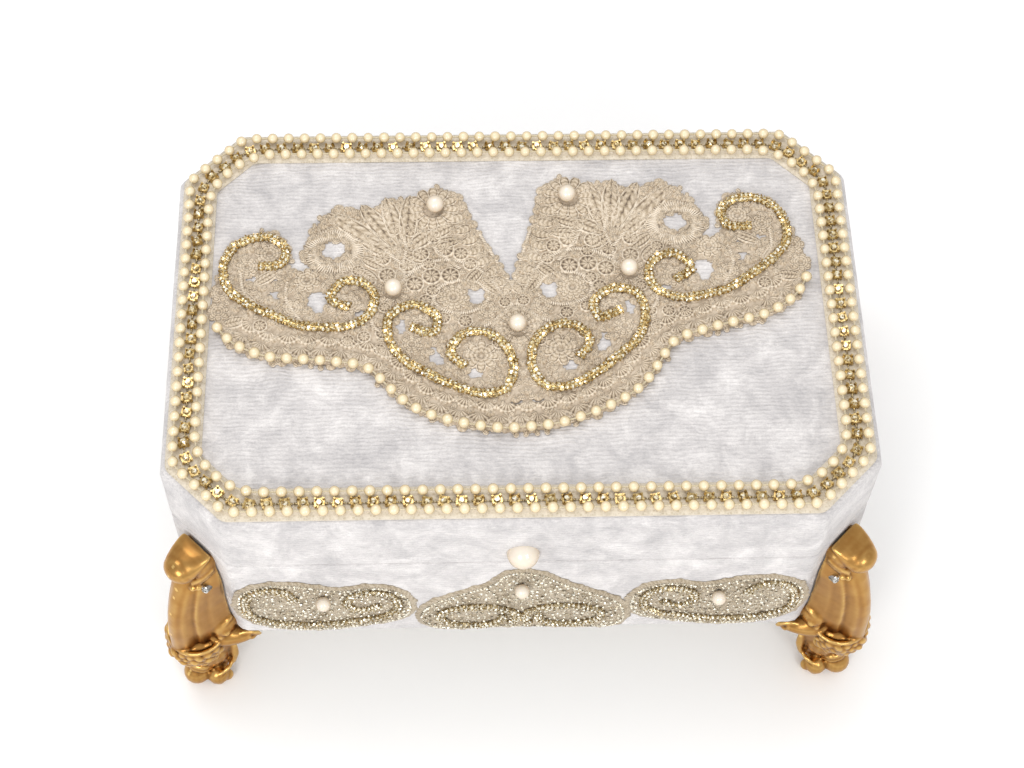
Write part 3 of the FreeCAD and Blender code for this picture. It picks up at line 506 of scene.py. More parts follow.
def stone_mesh(radius, height, facets=8):
    """A brilliant: a flat table, a ring of crown facets and a girdle."""
    points, faces = [], []
    for part_radius, z, shift in ((1.0, 0.0, 0.0), (0.96, 0.45, 0.5), (0.55, 1.0, 0.0)):
        for i in range(facets):
            angle = 2 * math.pi * (i + shift) / facets
            reach = radius * part_radius
            points.append((reach * math.cos(angle), reach * math.sin(angle), z * height))
    for ring in (0, 1):
        for i in range(facets):
            j = (i + 1) % facets
            a, b = ring * facets + i, ring * facets + j
            c, d = b + facets, a + facets
            if ring == 0:
                faces += [[a, b, d], [b, c, d]]
            else:
                faces += [[a, b, c], [a, c, d]]
    faces.append([2 * facets + i for i in range(facets)])
    faces.append([i for i in range(facets)][::-1])
    return outward(mesh_from("stone", points, faces, smooth=False))


def cup_mesh(radius, height, prongs=4):
    """A square-shouldered cup with four prongs bent over the stone."""
    points, faces = [], []

    def prism(x, y, half_x, half_y, bottom, top, turn, pinch=1.0):
        first = len(points)
        for z, factor in ((bottom, 1.0), (top, pinch)):
            for sx, sy in ((-1, -1), (1, -1), (1, 1), (-1, 1)):
                px, py = sx * half_x * factor, sy * half_y * factor
                points.append((
                    x + px * math.cos(turn) - py * math.sin(turn),
                    y + px * math.sin(turn) + py * math.cos(turn), z,
                ))
        faces.append([first + 3, first + 2, first + 1, first])
        faces.append([first + 4, first + 5, first + 6, first + 7])
        for i in range(4):
            j = (i + 1) % 4
            faces.append([first + i, first + j, first + 4 + j, first + 4 + i])

    prism(0, 0, radius * 0.86, radius * 0.86, 0.0, height * 0.55, 0.0, 1.08)
    for i in range(prongs):
        angle = math.pi / 4 + i * math.pi / 2
        reach = radius * 0.98
        prism(reach * math.cos(angle), reach * math.sin(angle), radius * 0.24, radius * 0.24, 0.0, height,
              angle, 0.7)
    return mesh_from("cup", points, faces, smooth=False)


# ---------------------------------------------------------------- paths


def smooth_path(points, closed=False, step=1.0):
    """Points every step millimetres along a smooth curve through the given ones."""
    given = np.array(points, float)
    count = len(given)
    fine = []
    spans = count if closed else count - 1
    for i in range(spans):
        if closed:
            p0, p1, p2, p3 = (given[(i + k) % count] for k in (-1, 0, 1, 2))
        else:
            p0, p1, p2, p3 = given[max(i - 1, 0)], given[i], given[i + 1], given[min(i + 2, count - 1)]
        for t in np.linspace(0, 1, 16, endpoint=False):
            fine.append(0.5 * (
                2 * p1 + (p2 - p0) * t + (2 * p0 - 5 * p1 + 4 * p2 - p3) * t * t
                + (3 * p1 - p0 - 3 * p2 + p3) * t ** 3
            ))
    fine.append(given[0] if closed else given[-1])
    fine = np.array(fine)
    along = np.r_[0, np.cumsum(np.linalg.norm(np.diff(fine, axis=0), axis=1))]
    steps = max(round(along[-1] / step), 2)
    at = np.linspace(0, along[-1], steps if closed else steps + 1, endpoint=not closed)
    return np.stack([np.interp(at, along, fine[:, k]) for k in range(given.shape[1])], axis=1)


def path_length(points, closed=False):
    run = np.array(points, float)
    if closed:
        run = np.vstack([run, run[:1]])
    return float(np.linalg.norm(np.diff(run, axis=0), axis=1).sum())


def shifted(points, sideways):
    """A flat path moved sideways, to its left."""
    run = np.array(points, float)
    direction = np.gradient(run[:, :2], axis=0)
    direction /= np.maximum(np.linalg.norm(direction, axis=1), 1e-9)[:, None]
    moved = run.copy()
    moved[:, 0] -= direction[:, 1] * sideways
    moved[:, 1] += direction[:, 0] * sideways
    return moved


APPLIQUE_MIDDLE = np.array([-0.4, -6.7])
APPLIQUE_TURN = math.radians(5)


def on_lid(points, height, side=1):
    """Appliqué points (across, up) as places on the lid's top; side -1 mirrors them."""
    c, s = math.cos(APPLIQUE_TURN), math.sin(APPLIQUE_TURN)
    flat = np.array(points, float)[:, :2] * [side, 1]
    turned = flat @ np.array([[c, s], [-s, c]]) + APPLIQUE_MIDDLE
    return [(x, y, height) for x, y in turned]


def tube(points, radius, sides=6, closed=False):
    """Points and faces of a tube along a path; radius may change along it."""
    run = np.array(points, float)
    count = len(run)
    radii = np.broadcast_to(np.array(radius, float), (count,))
    if closed:
        tangent = np.roll(run, -1, axis=0) - np.roll(run, 1, axis=0)
    else:
        tangent = np.gradient(run, axis=0)
    tangent /= np.maximum(np.linalg.norm(tangent, axis=1), 1e-9)[:, None]
    side = np.cross(tangent, [0, 0, 1.0])
    flat = np.linalg.norm(side, axis=1) < 0.2
    side[flat] = np.cross(tangent[flat], [1.0, 0, 0])
    side /= np.linalg.norm(side, axis=1)[:, None]
    up = np.cross(side, tangent)
    rows = []
    for i in range(count):
        for k in range(sides):
            angle = 2 * math.pi * k / sides
            rows.append(run[i] + radii[i] * (math.cos(angle) * side[i] + math.sin(angle) * up[i]))
    faces = grid_faces(count, sides, closed_rows=closed)
    if not closed:
        faces.append(list(range(sides))[::-1])
        faces.append([(count - 1) * sides + k for k in range(sides)])
    return rows, faces


def tube_mesh(name, points, radius, sides=6, closed=False):
    rows, faces = tube(points, radius, sides, closed)
    return outward(mesh_from(name, rows, faces))


# ---------------------------------------------------------------- camera, floor and light


def look_from():
    """The camera: above the front, looking down at the lid's top and the front wall."""
    azimuth, elevation, roll = (math.radians(a) for a in (-2.90, 59.5, 1.73))
    back = Vector((math.sin(azimuth) * math.cos(elevation), -math.cos(azimuth) * math.cos(elevation),
                   math.sin(elevation)))
    forward = -back
    right = forward.cross(Vector((0, 0, 1))).normalized()
    up = right.cross(forward)
    turned_right = right * math.cos(roll) + up * math.sin(roll)
    turned_up = -right * math.sin(roll) + up * math.cos(roll)
    place = Vector((-0.0035, -0.0343, LID_TOP * MM)) + back * 0.852
    data = bpy.data.cameras.new("camera")
    data.sensor_width = 36.0
    data.lens = 2013 / 1024 * 36.0
    data.clip_start = 0.01
    camera = bpy.data.objects.new("camera", data)
    rows = [[turned_right[i], turned_up[i], back[i], place[i]] for i in range(3)] + [[0, 0, 0, 1]]
    camera.matrix_world = Matrix(rows)
    bpy.context.scene.collection.objects.link(camera)
    bpy.context.scene.camera = camera


def softbox(name, place, aim, width, height, power):
    data = bpy.data.lights.new(name, "AREA")
    data.shape = "RECTANGLE"
    data.size, data.size_y, data.energy = width, height, power
    lamp = bpy.data.objects.new(name, data)
    lamp.location = place
    lamp.rotation_euler = (Vector(aim) - Vector(place)).to_track_quat("-Z", "Y").to_euler()
    bpy.context.scene.collection.objects.link(lamp)


def studio():
    """A white sweep of paper, a pale room and softboxes."""
    bpy.context.scene.view_settings.view_transform = "Standard"
    world = bpy.data.worlds.new("pale_room")
    world.use_nodes = True
    tree = world.node_tree
    tree.nodes.clear()
    glow = add(tree, "ShaderNodeBackground", {"Color": linear("#FFFFFF"), "Strength": 0.80})
    add(tree, "ShaderNodeOutputWorld", {"Surface": glow.outputs[0]})
    bpy.context.scene.world = world
    paper, tree = new_material("white_paper")
    finish_material(tree, {"Base Color": linear("#FFFFFF"), "Roughness": 0.9, "Specular IOR Level": 0.1})
    mesh = bpy.data.meshes.new("paper_floor")
    side = 3.0
    corners = [(x * side, y * side, 0) for x, y in ((-1, -1), (1, -1), (1, 1), (-1, 1))]
    mesh.from_pydata(corners, [], [(0, 1, 2, 3)])
    floor = bpy.data.objects.new("paper_floor", mesh)
    floor.data.materials.append(paper)
    bpy.context.scene.collection.objects.link(floor)
    softbox("softbox_left", (-0.55, -1.25, 0.85), (0, 0, 0.1), 0.45, 0.6, 7.0)
    softbox("softbox_right", (0.60, -1.15, 0.95), (0, 0, 0.1), 0.35, 0.5, 4.2)
    softbox("softbox_top", (-0.2, 0.35, 1.3), (0, 0, 0.1), 0.8, 0.5, 4.6)


look_from()
studio()


# ---------------------------------------------------------------- velvet covers


RUFFLE_DEPTH, RUFFLE_SIZE = 0.22, 21.0  # unevenness of cloth over board, in millimetres


def ruffled(mesh, seed):
    """Push points in and out along their normals by smooth noise; the underside stays flat."""
    mesh.update()
    points = mesh.vertices
    normals = [v.normal.copy() for v in points]
    for v, normal in zip(points, normals):
        if normal.z < -0.5:
            continue
        place = v.co / (RUFFLE_SIZE * MM) + Vector((seed * 3.7, seed * 1.3, 0))
        push = field.noise(place) * RUFFLE_DEPTH * MM
        v.co += normal * push
    return mesh


def lid_cover_mesh():
    """Velvet pulled over the lid: walls, a soft top edge, a flat top and a turned-in rim."""
    around = 360
    rim_inside = 6.3
    edge = 4.6
    profile = [(rim_inside, LID_RIM + 0.9), (rim_inside, LID_RIM - 0.14), (0.9, LID_RIM - 0.14)]
    profile += [(0.25, LID_RIM + 0.25), (0.0, LID_RIM + 1.0)]
    profile += [(0.0, LID_RIM + rise) for rise in (6, 12, 18, 24, 29)]
    for step in range(0, 9):
        angle = math.pi / 2 * step / 8
        profile.append((edge * (1 - math.cos(angle)), LID_TOP - edge + edge * math.sin(angle)))
    rows = []
    for inset, height in profile:
        rows += [(x, y, height) for x, y in outline_loop(inset, 3.2, count=around)]
    last = np.array(rows[-around:])
    rings = 26
    for ring in range(1, rings):
        shrink = 1 - ring / rings
        rows += [(x * shrink, y * shrink, z) for x, y, z in last]
    faces = grid_faces(len(rows) // around, around)
    rows.append((0.0, 0.0, LID_TOP))
    first = (len(rows) - 1) - around
    faces += [[first + i, first + (i + 1) % around, len(rows) - 1] for i in range(around)]
    under = [(rim_inside, LID_RIM + 0.9), (1.25, LID_RIM + 0.9), (1.25, LID_TOP - edge)]
    under += [(edge, LID_TOP - 1.25)]
    start = len(rows)
    for inset, height in under[1:]:
        rows += [(x, y, height) for x, y in outline_loop(inset, 3.2, count=around)]
    links = [list(range(around))]
    links += [list(range(start + k * around, start + (k + 1) * around)) for k in range(3)]
    for a, b in zip(links, links[1:]):
        faces += [[a[i], b[i], b[(i + 1) % around], a[(i + 1) % around]] for i in range(around)]
    rows.append((0.0, 0.0, LID_TOP - 1.25))
    faces += [[links[-1][i], len(rows) - 1, links[-1][(i + 1) % around]] for i in range(around)]
    return outward(mesh_from("lid_velvet", rows, faces))


def body_cover_mesh():
    """Velvet round the lower box, turned over the rim and under the base."""
    profile = [(1.25, BODY_BOTTOM + 0.9), (6.5, BODY_BOTTOM + 0.9)]
    profile += [(6.9, BODY_BOTTOM + 0.5), (6.5, BODY_BOTTOM)]
    profile += [(1.4, BODY_BOTTOM), (0.4, BODY_BOTTOM + 0.4), (0.0, BODY_BOTTOM + 1.4)]
    profile += [(0.0, BODY_BOTTOM + rise) for rise in (8, 16, 24, 32, 40, 48, 56, 63)]
    profile += [(0.0, BODY_RIM - 1.0), (0.25, BODY_RIM - 0.1), (0.9, BODY_RIM + 0.22)]
    profile += [(6.4, BODY_RIM + 0.22), (6.9, BODY_RIM), (6.4, BODY_RIM + 0.03), (1.25, BODY_RIM - 0.3)]
    return outward(swept_round_box("body_velvet", profile, 300, radius=3.2))


def velvet_covers():
    cover = new_piece("lid_velvet", ruffled(lid_cover_mesh(), 1), LID, VELVET,
                      ["lid_velvet_cover", "lid_wadding"])
    band = new_piece("body_velvet", ruffled(body_cover_mesh(), 2), BOX, VELVET,
                     ["body_velvet_cover"])


velvet_covers()


# ---------------------------------------------------------------- border of the lid

PEARL_RADIUS = (high("outer_pearl_strand", 2) - low("outer_pearl_strand", 2)) / 2
PEARL = prototype("pearl", bead_mesh(0.91 * PEARL_RADIUS, 12, 7))
SMALL_STONE = prototype("stone", stone_mesh(1.15, 1.15))
SMALL_CUP = prototype("cup", cup_mesh(1.15, 1.2))
BORDER_STONE = prototype("border_stone", stone_mesh(1.75, 2.5))
BORDER_CUP = prototype("border_cup", cup_mesh(2.3, 2.5))
SEED_BAR = prototype("seed_bar", tube_mesh("bar", [(-0.8, 0, 0.5), (0, 0, 0.55), (0.8, 0, 0.5)], 0.45, 6))


def strung_pearls(node, points, closed, count, height):
    """Pearls on a sewing thread, standing for one CAD row of beads."""
    points = [(x, y, height) for x, y, *_ in points]
    pearls = strand(node, points, closed, PEARL, count, CREAM_PEARL, 0.03, 0.15)
    thread = tube_mesh(node + "_thread", points, 0.4, 5, closed=closed)
    thread.materials.append(THREAD)
    new_piece(node + "_beads", joined(node, [pearls, thread]), LID, None, [node])


def border():
    """Two rows of strung pearls with a row of rhinestones between them, on a net tape."""
    rows = {"outer_pearl_strand": (5.5, 9.0), "inner_pearl_strand": (14.3, 26.0)}
    for node, (inset, radius) in rows.items():
        height = (low(node, 2) + high(node, 2)) / 2
        ring = outline_loop(inset, radius, spacing=1.5)
        count = round(path_length(ring, True) / PEARL_PITCH)
        strung_pearls(node, ring, True, count, height)
    base = low("border_rhinestones", 2)
    ring = outline_loop(9.9, 18.0, spacing=1.5)
    count = round(path_length(ring, True) / PEARL_PITCH)
    points = [(x, y, base) for x, y in ring]
    parts = [
        strand("cups", points, True, BORDER_CUP, count, GOLD_CUP, 0.06, 0.25),
        strand("stones", points, True, BORDER_STONE, count, GOLD_STONE, 0.06, 0.25),
        strand("bars", points, True, SEED_BAR, count * 3, SILVER_CUP, 0.2, 0.2),
    ]
    line = tube_mesh("line", [(x, y, base + 0.25) for x, y in ring], 0.28, 5, closed=True)
    line.materials.append(THREAD)
    new_piece("border_stone_row", joined("border_stone_row", parts + [line]), LID, None,
              ["border_rhinestones"])


def lace_thread(name, groove_shade, ground, crest_highlight):
    """Rayon embroidery thread: satin stitches laid side by side, dull gold-beige.

    A painted highlight lightens each stitch along its crest and painted shade darkens the gaps between
    stitches; both come from the crest value stored on the mesh.
    """
    material, tree = new_material(name)
    # painted light: the mesh's crest value lifts the colour to a painted highlight on stitch crests and
    # drops it to painted shade in the grooves
    crest_highlight_share = add(tree, "ShaderNodeAttribute", attribute_name="crest_highlight").outputs["Fac"]
    fuzz = noise(tree, object_space(tree), 0.7, 3.0, 0.7)
    cloud = noise(tree, object_space(tree), 9.0, 2.0)
    mixed = maths(tree, "ADD", maths(tree, "MULTIPLY", crest_highlight_share, 0.6),
                  maths(tree, "MULTIPLY", fuzz, 0.45))
    shaded = maths(tree, "ADD", mixed, maths(tree, "MULTIPLY", maths(tree, "SUBTRACT", cloud, 0.5), 0.3))
    finish_material(tree, {
        "Base Color": ramp(tree, shaded, [(0.20, groove_shade), (0.48, ground), (0.80, crest_highlight)]),
        "Roughness": 0.6,
        "Specular IOR Level": 0.3,
        "Sheen Weight": 0.25,
        "Sheen Roughness": 0.5,
        "Normal": bump(tree, fuzz, 0.3, 0.8),
    })
    return material


def sewing_thread():
    """White polyester sewing thread: fine, twisted and slightly shiny."""
    material, tree = new_material("polyester_thread")
    twist = noise(tree, object_space(tree), 0.4, 2.0)
    finish_material(tree, {
        "Base Color": ramp(tree, twist, [(0.3, "#B3A482"), (0.7, "#DFD2B6")]),
        "Roughness": 0.5,
        "Sheen Weight": 0.2,
        "Normal": bump(tree, twist, 0.2, 0.6),
    })
    return material


def net_tape():
    """Nylon tulle tape: hexagonal mesh about 1 mm across, drawn 1.2 mm so that it shows."""
    material, tree = new_material("tulle_tape")
    place = object_space(tree)
    cells = add(tree, "ShaderNodeTexVoronoi", {"Vector": place, "Scale": 1 / 1.2, "Randomness": 0.35},
                feature="DISTANCE_TO_EDGE").outputs["Distance"]
    cloud = noise(tree, place, 6.0, 2.0)
    mesh_lines = maths(tree, "MULTIPLY", cells, 1.5)
    mixed = maths(tree, "ADD", mesh_lines, maths(tree, "MULTIPLY", cloud, 0.25))
    finish_material(tree, {
        "Base Color": ramp(tree, mixed, [(0.1, "#E3D8C6"), (0.5, "#C4B69C"), (0.9, "#D2C7B5")]),
        "Roughness": 0.7,
        "Sheen Weight": 0.3,
        "Normal": bump(tree, maths(tree, "SUBTRACT", 1.0, mesh_lines), 0.4, 0.8),
    })
    return material


THREAD = sewing_thread()
LACE = lace_thread("guipure_lace_thread", "#564536", "#BBA88E", "#EDDFCB")
LACE_GROUND = lace_thread("guipure_lace_ground", "#7C6B57", "#BCAB95", "#D8C9B5")
FRONT_LACE = lace_thread("silver_beige_lace_thread", "#62533F", "#A29279", "#D6CAB6")
TULLE = net_tape()


def tape():
    low_face, top_face = low("border_tape", 2), high("border_tape", 2)
    profile = [(2.4, low_face), (2.4, top_face), (6.0, top_face + 0.1), (9.9, top_face - 0.1),
               (14.0, top_face + 0.1), (17.2, top_face), (17.2, low_face)]
    piece = new_piece("border_tulle", outward(swept_round_box("border_tulle", profile, 420, radius=6.0)),
                      LID, TULLE, ["border_tape"])


border()
tape()


# ---------------------------------------------------------------- stitched motifs


def motifs_tree():
    """Geometry nodes that set one motif at each point, turned and stretched by its attributes."""
    tree, given = started_tree(
        "motifs_at_points", {"Places": "Geometry", "Motif": "Object", "Finish": "Material"}, "Motifs",
    )
    motif = add(tree, "GeometryNodeObjectInfo", {"Object": given["Motif"]})
    turn = add(tree, "GeometryNodeInputNamedAttribute", {"Name": "turn"}, data_type="FLOAT_VECTOR")
    size = add(tree, "GeometryNodeInputNamedAttribute", {"Name": "size"}, data_type="FLOAT_VECTOR")
    spin = add(tree, "FunctionNodeEulerToRotation", {0: turn.outputs["Attribute"]})
    placed = add(tree, "GeometryNodeInstanceOnPoints", {
        "Points": given["Places"], "Instance": motif.outputs["Geometry"],
        "Rotation": spin.outputs[0], "Scale": size.outputs["Attribute"],
    })
    return ended_tree(tree, placed.outputs[0], given["Finish"])


MOTIFS_AT_POINTS = motifs_tree()


def sewn_on(name, motif, places, material):
    """Copies of a motif; each place is (point, euler turn in radians, stretch)."""
    host = bpy.data.meshes.new(name + "_places")
    host.from_pydata([[c * MM for c in point] for point, _, _ in places], [], [])
    for label, column in (("turn", 1), ("size", 2)):
        values = host.attributes.new(label, "FLOAT_VECTOR", "POINT")
        values.data.foreach_set("vector", [c for place in places for c in place[column]])
    return grown(name, host, MOTIFS_AT_POINTS, {"Motif": motif, "Finish": material})


def relief(name, rows, columns, point_at):
    """A closed stitched patch: a relief on top, a flat back and a rim that joins them.

    point_at(s, t) gives (x, y, height, crest value) for s and t from 0 to 1; the crest value is stored on
    the mesh and the lace material paints it as a highlight on crests and shade in grooves.
    """
    points, crest_highlights = [], []
    for r in range(rows):
        for c in range(columns):
            x, y, z, crest_highlight = point_at(r / (rows - 1), c / (columns - 1))
            points.append((x, y, z))
            crest_highlights.append(crest_highlight)
    faces = grid_faces(rows, columns, closed_columns=False)
    border = [c for c in range(columns)]
    border += [r * columns + columns - 1 for r in range(1, rows)]
    border += [(rows - 1) * columns + c for c in range(columns - 2, -1, -1)]
    border += [r * columns for r in range(rows - 2, 0, -1)]
    first = len(points)
    for index in border:
        x, y, _ = points[index]
        points.append((x, y, -0.25))
        crest_highlights.append(0.0)
    count = len(border)
    for i in range(count):
        j = (i + 1) % count
        faces.append([border[i], border[j], first + j, first + i])
    faces.append([first + i for i in range(count)])
    mesh = mesh_from(name, points, faces)
    if len(mesh.vertices) == len(crest_highlights):
        # store the crest value, which the lace material paints as a highlight on the crests and as shade in
        # the grooves
        mesh.attributes.new("crest_highlight", "FLOAT", "POINT").data.foreach_set("value", crest_highlights)
    return outward(mesh)


def leaf_mesh(stitches=7, veined=True, blunt=0.75):
    """A satin-stitched leaf or petal one millimetre long and wide, its base at the origin."""
    def point_at(s, t):
        across = 2 * t - 1
        half = 0.5 * max(math.sin(math.pi * s ** blunt), 0.0) ** 0.5 + 0.02
        lean = 0.10 * (1 - abs(across)) if veined else 0.0
        wave = 0.5 + 0.5 * math.cos(2 * math.pi * stitches * (s + 0.16 * abs(across)))
        rim = math.exp(-((abs(across) - 0.88) / 0.10) ** 2)
        groove_shade = math.exp(-((abs(across) - 0.70) / 0.08) ** 2)
        vein = math.exp(-(across / 0.13) ** 2) if veined else 0.0
        # crest value for painted light: highlight on the stitches and the rim, painted shade in the groove
        # and along the vein
        crest_highlight = min(1.0, max(0.0, 0.25 + 0.55 * wave + 0.6 * rim - 0.75 * groove_shade - 0.5 * vein))
        body = 0.55 * (1 - across * across) * math.sin(math.pi * s) ** 0.6
        height = 0.25 + body + 0.42 * crest_highlight + 0.25 * rim
        if abs(across) > 0.97 or s in (0.0, 1.0):
            height = 0.05
        return s + lean * 0.3, half * across, height, crest_highlight
    return relief("leaf", 2 * stitches + 5, 13, point_at)


def fan_mesh(ribs=7, spread=150.0):
    """A buttonhole-stitched shell one millimetre in radius, opening along X."""
    def point_at(s, t):
        angle = math.radians(spread) * (t - 0.5)
        scallop = 1.0 + 0.06 * abs(math.cos(math.pi * ribs * t))
        radius = (0.10 + 0.90 * s) * scallop
        wave = 0.5 + 0.5 * math.cos(2 * math.pi * ribs * t)
        rim = math.exp(-((s - 0.86) / 0.09) ** 2)
        groove_shade = math.exp(-((s - 0.70) / 0.08) ** 2)
        # crest value for painted light: highlight on the ribs and the rim, painted shade in the groove
        crest_highlight = min(1.0, max(0.0, 0.15 + 0.7 * wave + 0.4 * rim - 0.45 * groove_shade))
        height = 0.3 + 0.35 * math.sin(math.pi * s) + 0.45 * crest_highlight + 0.2 * rim
        if s in (0.0, 1.0) or t in (0.0, 1.0):
            height = 0.05
        return radius * math.cos(angle), radius * math.sin(angle), height, crest_highlight
    return relief("fan", 9, 4 * ribs + 1, point_at)


def disc_mesh(name="disc", stitches=9, rings=8, spokes=36):
    """A round padded eyelet one millimetre in radius, stitched from its middle."""
    def point_at(s, t):
        angle = 2 * math.pi * t
        radius = 0.06 + 0.94 * s
        wave = 0.5 + 0.5 * math.cos(stitches * angle + 2.2 * s)
        rim = math.exp(-((s - 0.86) / 0.10) ** 2)
        groove_shade = math.exp(-((s - 0.66) / 0.09) ** 2)
        # crest value for painted light: highlight on the stitches and the rim, painted shade in the groove
        crest_highlight = min(1.0, max(0.0, 0.2 + 0.6 * wave + 0.5 * rim - 0.7 * groove_shade))
        height = 0.3 + 0.5 * (1 - s * s) + 0.4 * crest_highlight + 0.25 * rim
        if s == 1.0:
            height = 0.05
        return radius * math.cos(angle), radius * math.sin(angle), height, crest_highlight
    return relief(name, rings, spokes + 1, point_at)


def stitch_mesh():
    """One padded satin stitch, one millimetre long along Y and as wide as a cord."""
    rows, faces = tube([(0, y, 0.15 + 0.4 * (1 - (2 * y) ** 2)) for y in np.linspace(-0.5, 0.5, 5)],
                       [0.14, 0.34, 0.38, 0.34, 0.14], 5)
    mesh = mesh_from("stitch", rows, faces)
    # crest value for painted light: brightest in the stitch's middle, painted shade towards its ends
    crest_highlight = [share for share in (0.25, 0.75, 1.0, 0.75, 0.25) for _ in range(5)]
    mesh.attributes.new("crest_highlight", "FLOAT", "POINT").data.foreach_set("value", crest_highlight)
    return outward(mesh)


LEAF = prototype("leaf", leaf_mesh(7, True, 1.0))
PETAL = prototype("petal", leaf_mesh(4, False, 1.25))
FAN = prototype("fan", fan_mesh())
DISC = prototype("disc", disc_mesh())
KNOT = prototype("knot", disc_mesh("knot", 6, 3, 12))
STITCH = prototype("stitch", stitch_mesh())

OUTER_SCROLL = [(108, 42), (99, 43), (97, 51), (104, 57), (115, 56), (123, 48), (124, 36), (118, 26),
                (98, 12.5), (86, 8.5), (74, 7.5), (63.5, 12), (60, 21), (64, 29), (73, 30.5), (79, 22.5),
                (72, 17.5)]
INNER_SCROLL = [(45, 4), (36, 1), (34.5, 9.5), (44, 15.5), (54, 11), (55.5, -0.5), (50, -11.5), (41, -19),
                (31, -26), (20, -31), (9, -30.5), (4, -21), (6, -9.5), (14, -1.5), (24, -1.5), (30, -9.5),
                (25, -17)]
SWAG = [(0, -50.3), (14, -49.5), (34, -43.6), (48, -36), (57, -26), (66, -14.8), (79, -10.6), (93.5, -7.8),
        (107, -5.3), (118, 0.2), (124, 5.5), (128, 11.5)]
LACE_TOP_EDGE = [(0, 21), (5, 34), (12, 52), (18, 71), (27, 77), (38, 72), (50, 72), (62, 68), (74, 70),
                 (86, 57),
                 (90, 45), (84, 37), (95, 41), (96, 55), (106, 61), (119, 56), (126, 43), (130, 26)]

# Velvet shows through the lace here: (across, up, half width, half height).
LACE_OPENINGS = [(76, 48.3, 5.4, 4.7), (16, 18.3, 4.2, 4.6), (36, -11, 3.2, 5.4), (84.5, 22, 4.8, 5.6),
                 (107, 36, 8.0, 2.2), (103, 27, 3.4, 2.0), (21, -20.5, 4.0, 2.4), (50, 6.5, 2.2, 4.6),
                 (67, 15.5, 3.6, 2.0), (0, 7.2, 4.6, 2.4), (93, 47, 2.6, 6.0), (4.5, -37, 3.0, 1.6)]
# Flowers: across, up, petals, inner radius, petal length, petal width.
FLOWERS = [(30.5, 65.6, 12, 3.8, 8.2, 5.2), (52, 23.8, 10, 3.6, 4.4, 3.0), (88.6, 33.5, 7, 0.8, 5.6, 4.2),
           (26, 18.2, 11, 0.8, 6.6, 3.4), (71, 19.5, 9, 0.6, 5.4, 3.2), (41.5, 5.5, 9, 0.6, 5.4, 3.0),
           (17, -12.5, 8, 0.8, 7.4, 4.6), (46, -4.0, 7, 0.8, 4.6, 3.2), (104, 48.6, 8, 0.8, 6.0, 3.8),
           (95.5, 19.5, 7, 0.6, 4.6, 3.4), (126.0, 30.6, 7, 0.6, 4.6, 3.6), (127.5, 21.0, 7, 0.6, 4.6, 3.6),
           (114, 43, 7, 0.6, 5.0, 3.4), (12, 10.5, 7, 0.6, 4.4, 3.2)]
# Veined leaves: base across and up, tip across and up, width.
LEAVES = [(44, 47, 40, 74, 9.0), (46, 46, 51, 74, 9.0), (48, 46, 62, 71, 9.2), (51, 45, 77, 68, 9.4),
          (44, 45, 30, 54, 8.0), (50, 42, 64, 53, 7.6), (46, 44, 36, 38, 7.0), (54, 36, 64, 43, 6.6),
          (35, 50, 22, 56, 7.0), (33, 46, 20, 48, 6.6), (58, 30, 66, 37, 6.0), (111, 22, 122, 33, 6.4),
          (100, 40, 112, 33, 5.4), (116, 16, 126, 14, 6.4), (20, 24, 12, 32, 6.0), (6, 18, 14, 27, 5.6)]
# Padded eyelets: across, up, radius.
EYELETS = [(26.2, 29.6, 4.6), (34.4, 30.0, 4.6), (42.0, 26.6, 4.4), (41.4, 55.0, 3.8), (48.6, 56.5, 3.8),
           (31.7, 50.5, 3.8), (27.4, 43.6, 4.6), (54.9, 41.3, 4.0), (53.6, 32.4, 4.2), (38.0, 42.0, 4.2),
           (20.5, 40.5, 3.8), (61.5, 30.5, 3.4), (17.0, 34.5, 3.4), (44.5, 36.6, 4.0), (35.0, 36.5, 3.4),
           (66.0, 36.0, 3.2), (10.0, 26.0, 3.0), (38.0, 17.5, 3.6), (34.5, 22.5, 3.4), (58, 3, 3.4),
           (60, -5, 3.0), (9.0, -7.0, 3.2), (28, -5.5, 3.0), (66, 2.0, 3.2), (73, 1.0, 3.0),
           (110, 12.0, 3.4), (22, 5.5, 3.4),
           (31, 8.0, 3.2), (4, 13.5, 3.0), (56, 16, 3.0)]
# Edge petals that point out over the velvet: across, up, direction in degrees, length, width.
EDGE_PETALS = [(24, 58, 160, 8, 6), (22, 52, 165, 8, 6), (20, 46, 165, 8, 6), (18, 40, 163, 8, 6),
               (15, 34, 160, 8, 6), (11.5, 28, 158, 7.5, 5.6), (8, 22, 150, 7, 5.2), (4, 17, 120, 6, 5)]
# Corded stems.
STEMS = [
    [(4, 16), (9, 26), (17, 34.5), (28, 38), (38, 36), (47, 29), (50, 24)],
    [(22, 33), (28, 40), (33, 47), (36, 56), (33, 60)],
    [(46, 29), (46, 38), (44, 46), (46, 54)],
    [(47, 38), (54, 46), (60, 50), (62, 54)],
    [(62, 12), (58, 20), (52, 19)],
    [(1, 12), (9, 5), (14, 2)],
    [(92, 12), (98, 24), (97, 33)],
    [(108, 20), (116, 30), (117, 42)],
    [(57, 2), (62, 8), (60, 16)],
]
# Corded rings: across, up, half width, half height, band width.
RINGS = [(75.5, 47.5, 10.4, 9.2, 6.6), (22.5, 18.2, 12.0, 8.4, 2.0)]


def mirrored(places):
    """Places on the lid for both halves; each is (across, up, direction, length, width)."""
    found = []
    for side in (1, -1):
        for across, up, direction, length, width in places:
            (x, y, z), = on_lid([(across, up)], STITCHED_AT, side)
            angle = direction if side == 1 else 180 - direction
            turn = math.radians(angle) + APPLIQUE_TURN
            found.append(((x, y, z), (0, 0, turn), (length, width, 1.0)))
    return found


def ellipse(across, up, half_width, half_height, step=1.0):
    count = max(round(2 * math.pi * max(half_width, half_height) / step), 8)
    angles = np.linspace(0, 2 * math.pi, count, endpoint=False)
    return [(across + half_width * math.cos(a), up + half_height * math.sin(a)) for a in angles]


